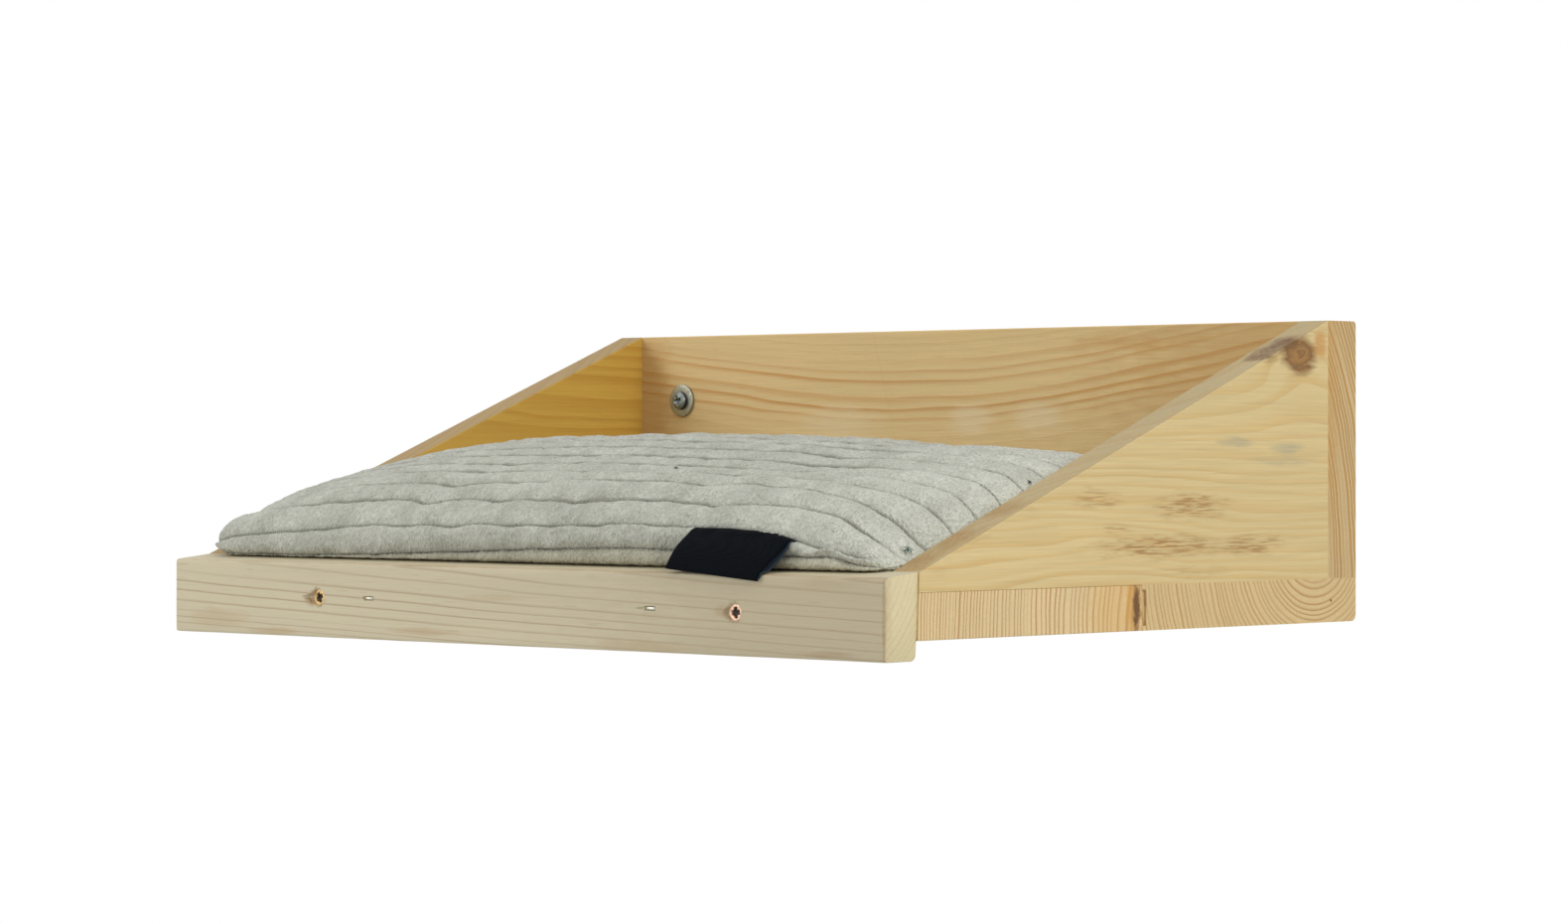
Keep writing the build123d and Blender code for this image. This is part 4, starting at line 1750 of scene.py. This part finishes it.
    def _stitches(self) -> None:
        """Lays the sewing thread's stitches in the seams."""
        pitch, run, thick, margin = 0.0034, 0.0024, 0.00020, 0.006
        mesh = Mesh()
        ring = [(math.cos(t), math.sin(t)) for t in (0.8, 2.4, 3.9, 5.5)]
        lifts = (-0.0003, 0.00012, 0.00012, -0.0003)
        faces = tube_faces(len(lifts), len(ring))
        for row in self.seam_rows[1:-1]:
            line = self.top[row]
            ahead, behind = self.top[row + 1], self.top[row - 1]
            across = ahead - behind
            gone = np.concatenate([[0], np.cumsum(np.linalg.norm(np.diff(line, axis=0), axis=1))])
            start = margin
            while start + run < gone[-1] - margin:
                marks = np.array([start, start + run * 0.2, start + run * 0.8, start + run])
                at = np.stack([np.interp(marks, gone, line[:, i]) for i in range(3)], axis=1)
                over = np.array([np.interp(start, gone, across[:, i]) for i in range(3)])
                along = at[-1] - at[0]
                along /= np.linalg.norm(along)
                normal = np.cross(along, over)
                normal /= np.linalg.norm(normal)
                side = np.cross(along, normal)
                points = []
                for spot, lift in zip(at, lifts):
                    middle = spot + normal * lift
                    points += [middle + (side * c + normal * s) * thick for c, s in ring]
                mesh.add(points, faces)
                start += pitch
        mesh.piece("cushion_stitches", [self.finishes.thread], Body.CUSHION, "plush")

    def profile(self, x: float) -> np.ndarray:
        """The top panel's section over its first two channels at a place.

        Args:
            x: The place along the cushion.

        Returns:
            The section's (Y, Z) points, from the front fold upwards.
        """
        rows = range(2 * self.steps + 1)
        return np.array([[np.interp(x, self.x, self.top[row, :, i]) for i in (1, 2)] for row in rows])


@dataclass
class Label:
    """A folded woven tape, sewn into the first channel's seam and left blank."""

    finishes: Finishes
    left: float = 0.1160
    width: float = 0.0650
    length: float = 0.060  # of the whole tape, both layers
    left_slant: float = -0.0018
    right_slant: float = -0.0088
    hem_front: float = -0.3440
    hem_left: float = -0.0818
    hem_right: float = -0.0864
    bow: float = 0.0030
    stand_off: float = 0.0017
    thickness: float = 0.00030
    gap: float = 0.0036
    columns: int = 40
    rows: int = 18
    turns: int = 6

    def _front_line(self, x: float, share: float, cushion: Cushion) -> np.ndarray:
        """The outer layer's section at a place, from its root in the seam to its hem.

        Args:
            x: The place along the cushion.
            share: The same place as a share of the label's width.
            cushion: The cushion that it lies on.

        Returns:
            The section's (Y, Z) points.
        """
        profile = cushion.profile(x)
        root = profile[cushion.steps] + np.array((-0.0002, 0.0002))
        hem = np.array((self.hem_front, self.hem_left + (self.hem_right - self.hem_left) * share))
        out = np.array((-0.72, 0.69))
        downs = [step / self.rows for step in range(self.rows + 1)]
        line = np.array(
            [
                root + (hem - root) * down + out * self.bow * math.sin(math.pi * min(down * 0.9, 1.0))
                for down in downs
            ]
        )
        for turn in range(9):
            for step, down in enumerate(downs[1:], 1):
                away = profile - line[step]
                near = int(np.argmin(np.sum(away**2, axis=1)))
                before, after = profile[max(near - 1, 0)], profile[min(near + 1, len(profile) - 1)]
                run = after - before
                normal = np.array((-run[1], run[0])) / max(math.hypot(*run), 1e-9)
                height = float(np.dot(line[step] - profile[near], normal))
                needed = self.stand_off * ease(down * 9)
                if abs(height) < 0.006 and height < needed:
                    line[step] += normal * (needed - height)
            if turn < 8:
                line[1:-1] = (line[:-2] + 2 * line[1:-1] + line[2:]) / 4
        return line

    def build(self, cushion: Cushion) -> bpy.types.Object:
        """Builds the label as one tape, down, round its fold and up again.

        Args:
            cushion: The cushion that it is sewn to.

        Returns:
            The label.
        """
        grid = []
        for column in range(self.columns):
            share = column / (self.columns - 1)
            x = self.left + self.width * share
            line = self._front_line(x, share, cushion)
            slant = self.left_slant + (self.right_slant - self.left_slant) * share
            front = [(x + slant * i / self.rows, y, z) for i, (y, z) in enumerate(line)]
            spread = [
                self.gap * (0.12 + 0.88 * ease(i / self.rows * 1.5)) * (1 - 0.55 * (i / self.rows) ** 6)
                for i in range(self.rows + 1)
            ]
            hem = front[-1]
            fold = [
                (
                    hem[0],
                    hem[1] + spread[-1] / 2 * (1 - math.cos(math.pi * k / self.turns)),
                    hem[2] - spread[-1] / 2 * math.sin(math.pi * k / self.turns),
                )
                for k in range(1, self.turns)
            ]
            back = []
            for i, p in reversed(list(enumerate(front))):
                y, z = p[1] + spread[i], p[2] - spread[i] * 0.35 * (i < self.rows)
                if z < -0.0820:
                    y = min(y, RAIL_FRONT - 0.0004)
                back.append((p[0] + 0.0012 * math.sin(math.pi * i / self.rows), y, z))
            grid.append(front + fold + back)
        points = np.array(grid).transpose(1, 0, 2)
        mesh = Mesh()
        mesh.add(points.reshape(-1, 3), grid_faces(len(points), self.columns))
        hidden = (self.rows + self.turns - 1) * (self.columns - 1)
        # The back layer's faces take the painted sheen finish.
        mesh.finishes = [1 if i >= hidden else 0 for i in range(len(mesh.faces))]
        tape = mesh.piece(
            "cushion_label_tape",
            [self.finishes.tape, self.finishes.tape_back_painted_sheen],
            Body.CUSHION,
            "label_tape",
            ["cushion_label"],
        )
        thick = tape.modifiers.new("thickness", "SOLIDIFY")
        thick.thickness = self.thickness
        thick.offset = 0.0
        return tape


@dataclass
class Lint:
    """A few stray fibres caught on the plush."""

    name: str
    place: Point
    reach: float
    strands: int
    finish: bpy.types.Material
    seed: int

    def build(self, cover: bpy.types.Object) -> bpy.types.Object:
        """Builds the fibres where they lie on the cushion.

        Args:
            cover: The top panel that they are caught on.

        Returns:
            The piece.
        """
        random = np.random.default_rng(self.seed)
        found, seat, normal, _ = cover.closest_point_on_mesh(Vector(self.place))
        seat = np.array(seat if found else self.place)
        normal = np.array(normal)
        mesh = Mesh()
        thick = 0.00013
        for _ in range(self.strands):
            heading = random.normal(size=3)
            heading -= normal * heading.dot(normal)
            heading /= np.linalg.norm(heading)
            curl = np.cross(normal, heading) * random.uniform(-0.8, 0.8)
            run = self.reach * random.uniform(0.4, 1.0)
            start = seat + random.normal(size=3) * self.reach * 0.15
            points = []
            for i in range(6):
                t = i / 5 - 0.5
                arch = normal * (0.0007 + self.reach * 0.25 * (0.25 - t * t))
                spot = start + heading * run * t + curl * run * t * t * 2 + arch
                side = np.cross(heading, normal)
                points += [
                    spot + (side * math.cos(a) + normal * math.sin(a)) * thick
                    for a in (0.0, 2.1, 4.2)
                ]
            mesh.add(points, tube_faces(6, 3))
        return mesh.piece(self.name, [self.finish], Body.CUSHION, "plush")


class Boards:
    """The boards and hidden screws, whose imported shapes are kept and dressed."""

    def __init__(self, finishes: Finishes) -> None:
        """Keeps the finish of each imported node.

        Args:
            finishes: The shelf's finishes.
        """
        self.dress = {
            "base_front_plank": finishes.base_front,
            "base_rear_plank": finishes.base_rear,
            "back_board": finishes.back,
            "left_side_panel": finishes.left,
            "right_side_panel": finishes.right,
            "base_to_left_side_screws": finishes.brass,
            "base_to_right_side_screws": finishes.brass,
            "base_to_back_screws": finishes.brass,
            "back_to_left_side_screws": finishes.brass,
            "back_to_right_side_screws": finishes.brass,
        }

    def build(self) -> None:
        """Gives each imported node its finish."""
        for name, material in self.dress.items():
            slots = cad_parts[name].material_slots
            for slot in slots:
                slot.link = "OBJECT"
                slot.material = material
            LOG.info("%s: finish %s", name, material.name)


@dataclass
class Studio:
    """A pale floor, soft lamps and the camera."""

    floor_height: float = -0.50
    floor_radius: float = 1.9
    ambient: float = 0.50
    camera_place: Point = (1.5750, -1.7792, -0.0266)
    camera_yaw: float = 43.9969
    focal_pixels: float = 4480.8
    image_width: float = 1579.0
    image_height: float = 930.0
    axis_height: float = 451.03  # the optical axis, in pixels from the picture's top

    def _lamp(self, name: str, place: Point, aim: Point, size: tuple, power: float) -> None:
        """Adds a soft rectangular lamp.

        Args:
            name: The lamp's name.
            place: Where it hangs.
            aim: What it points at.
            size: Its width and height.
            power: Its power in watts.
        """
        data = bpy.data.lights.new(name, "AREA")
        data.shape = "RECTANGLE"
        data.size, data.size_y = size
        data.energy = power
        lamp = stand(name, data)
        lamp.location = place
        way = Vector(aim) - Vector(place)
        lamp.rotation_euler = way.to_track_quat("-Z", "Y").to_euler()

    def _world(self) -> None:
        """Makes the world white to the eye and in reflections, and a soft grey as a light."""
        world = bpy.data.worlds.new("studio")
        bpy.context.scene.world = world
        world.use_nodes = True
        nodes = Nodes(world.node_tree)
        path = nodes.node("ShaderNodeLightPath", {}, {}).outputs
        camera, glossy, clear = (
            Signal(nodes, path[f"Is {ray} Ray"]) for ray in ("Camera", "Glossy", "Transmission")
        )
        seen = camera.at_least(glossy.at_least(clear))
        levels = {"Value": seen, "To Min": self.ambient, "To Max": 1.0}
        strength = nodes.signal("ShaderNodeMapRange", {}, levels)
        light = nodes.signal("ShaderNodeBackground", {}, {"Color": WHITE, "Strength": strength})
        nodes.node("ShaderNodeOutputWorld", {}, {"Surface": light})

    def _floor(self) -> None:
        """Lays a round pale floor below the shelf."""
        shader = Shader("studio_floor")
        grain = shader.noise(shader.place(), 3.0, 2.0)
        colour = shader.mix((0.80, 0.80, 0.79), (0.86, 0.86, 0.85), grain)
        material = shader.finish({"Base Color": colour, "Roughness": 0.9}, {})
        around, rings = 96, 6
        points = [
            (
                math.cos(2 * math.pi * k / around) * self.floor_radius * ring / rings,
                math.sin(2 * math.pi * k / around) * self.floor_radius * ring / rings - 0.15,
                self.floor_height,
            )
            for ring in range(1, rings + 1)
            for k in range(around)
        ]
        data = bpy.data.meshes.new("floor")
        faces = grid_faces(rings, around, closed=True) + [tuple(range(around))[::-1]]
        data.from_pydata(points, [], faces)
        data.materials.append(material)
        stand("floor", data)

    def _camera(self) -> None:
        """Stands the camera where the photograph was taken from."""
        data = bpy.data.cameras.new("camera")
        data.sensor_fit = "HORIZONTAL"
        data.sensor_width = 36.0
        data.lens = data.sensor_width * self.focal_pixels / self.image_width
        data.shift_y = (self.axis_height - self.image_height / 2) / self.image_width
        data.clip_start, data.clip_end = 0.05, 50.0
        camera = stand("camera", data)
        camera.location = self.camera_place
        camera.rotation_euler = (math.pi / 2, 0.0, math.radians(self.camera_yaw))
        bpy.context.scene.camera = camera

    def build(self) -> None:
        """Builds the studio."""
        bpy.context.scene.view_settings.view_transform = "Standard"
        middle = (0.0, -0.17, -0.04)
        self._world()
        self._floor()
        self._lamp("key", (2.35, -0.35, 1.25), middle, (1.4, 1.2), 30.0)
        self._lamp("fill", (-1.2, -1.45, 0.45), middle, (1.0, 0.9), 10.5)
        self._lamp("top", (0.2, -0.6, 2.2), middle, (1.6, 1.6), 9.0)
        self._camera()


def main() -> None:
    """Builds the studio, the boards, the fasteners and the cushion."""
    logging.basicConfig(level=logging.INFO, format="%(name)s: %(message)s")
    Studio().build()
    finishes = Finishes()
    Boards(finishes).build()
    FrontRail(finishes).build()
    for side, x in WALL_SCREWS.items():
        Washer(f"wall_washer_plated_{side}", f"wall_washer_{side}", x, finishes.zinc).build()
        Screw(
            f"wall_screw_threaded_{side}",
            f"wall_screw_{side}",
            (x, BACK_FRONT - WASHER_THICK, 0.0),
            Drive.DOMED,
            head=0.010,
            height=0.0034,
            core=0.0036,
            thread=0.0050,
            length=0.0601,
            thread_from=0.0241,
            pitch=0.0022,
            recess=0.0054,
            recess_depth=0.0020,
            finish=finishes.zinc_screw,
            slot="zinc",
            twist=0.35 if side == "left" else 1.1,
        ).build()
    worn = {"left": (finishes.sunk_brass, 0.5), "right": (finishes.copper, 0.1)}
    for side, (finish, twist) in worn.items():
        Screw(
            f"rail_screw_worn_{side}",
            f"front_rail_screw_{side}",
            (RAIL_SCREWS[side], RAIL_FRONT + RAIL_SCREW_SINK, RAIL_SCREW_HEIGHT),
            Drive.FLAT,
            head=0.0080,
            height=0.0030,
            core=0.0028,
            thread=0.0040,
            length=0.0420,
            thread_from=0.0150,
            pitch=0.0018,
            recess=0.0050,
            recess_depth=0.0018,
            finish=finish,
            slot="yellow_zinc",
            twist=twist,
            arm_share=0.17,
        ).build()
    for side, x in STAPLES.items():
        Staple(f"rail_staple_bent_{side}", f"front_rail_staple_{side}", x, finishes.steel).build()
    cushion = Cushion(finishes)
    cover = cushion.build()
    Label(finishes).build(cushion)
    Lint("lint_green", (0.2300, -0.3055, -0.0714), 0.0050, 11, finishes.lint, 3).build(cover)
    Lint("lint_speck", (0.044, -0.2685, -0.036), 0.0022, 6, finishes.dark_lint, 5).build(cover)
    Lint("lint_rear", (0.2268, -0.213, -0.038), 0.0024, 6, finishes.dark_lint, 11).build(cover)


if __name__ == "__main__":
    main()
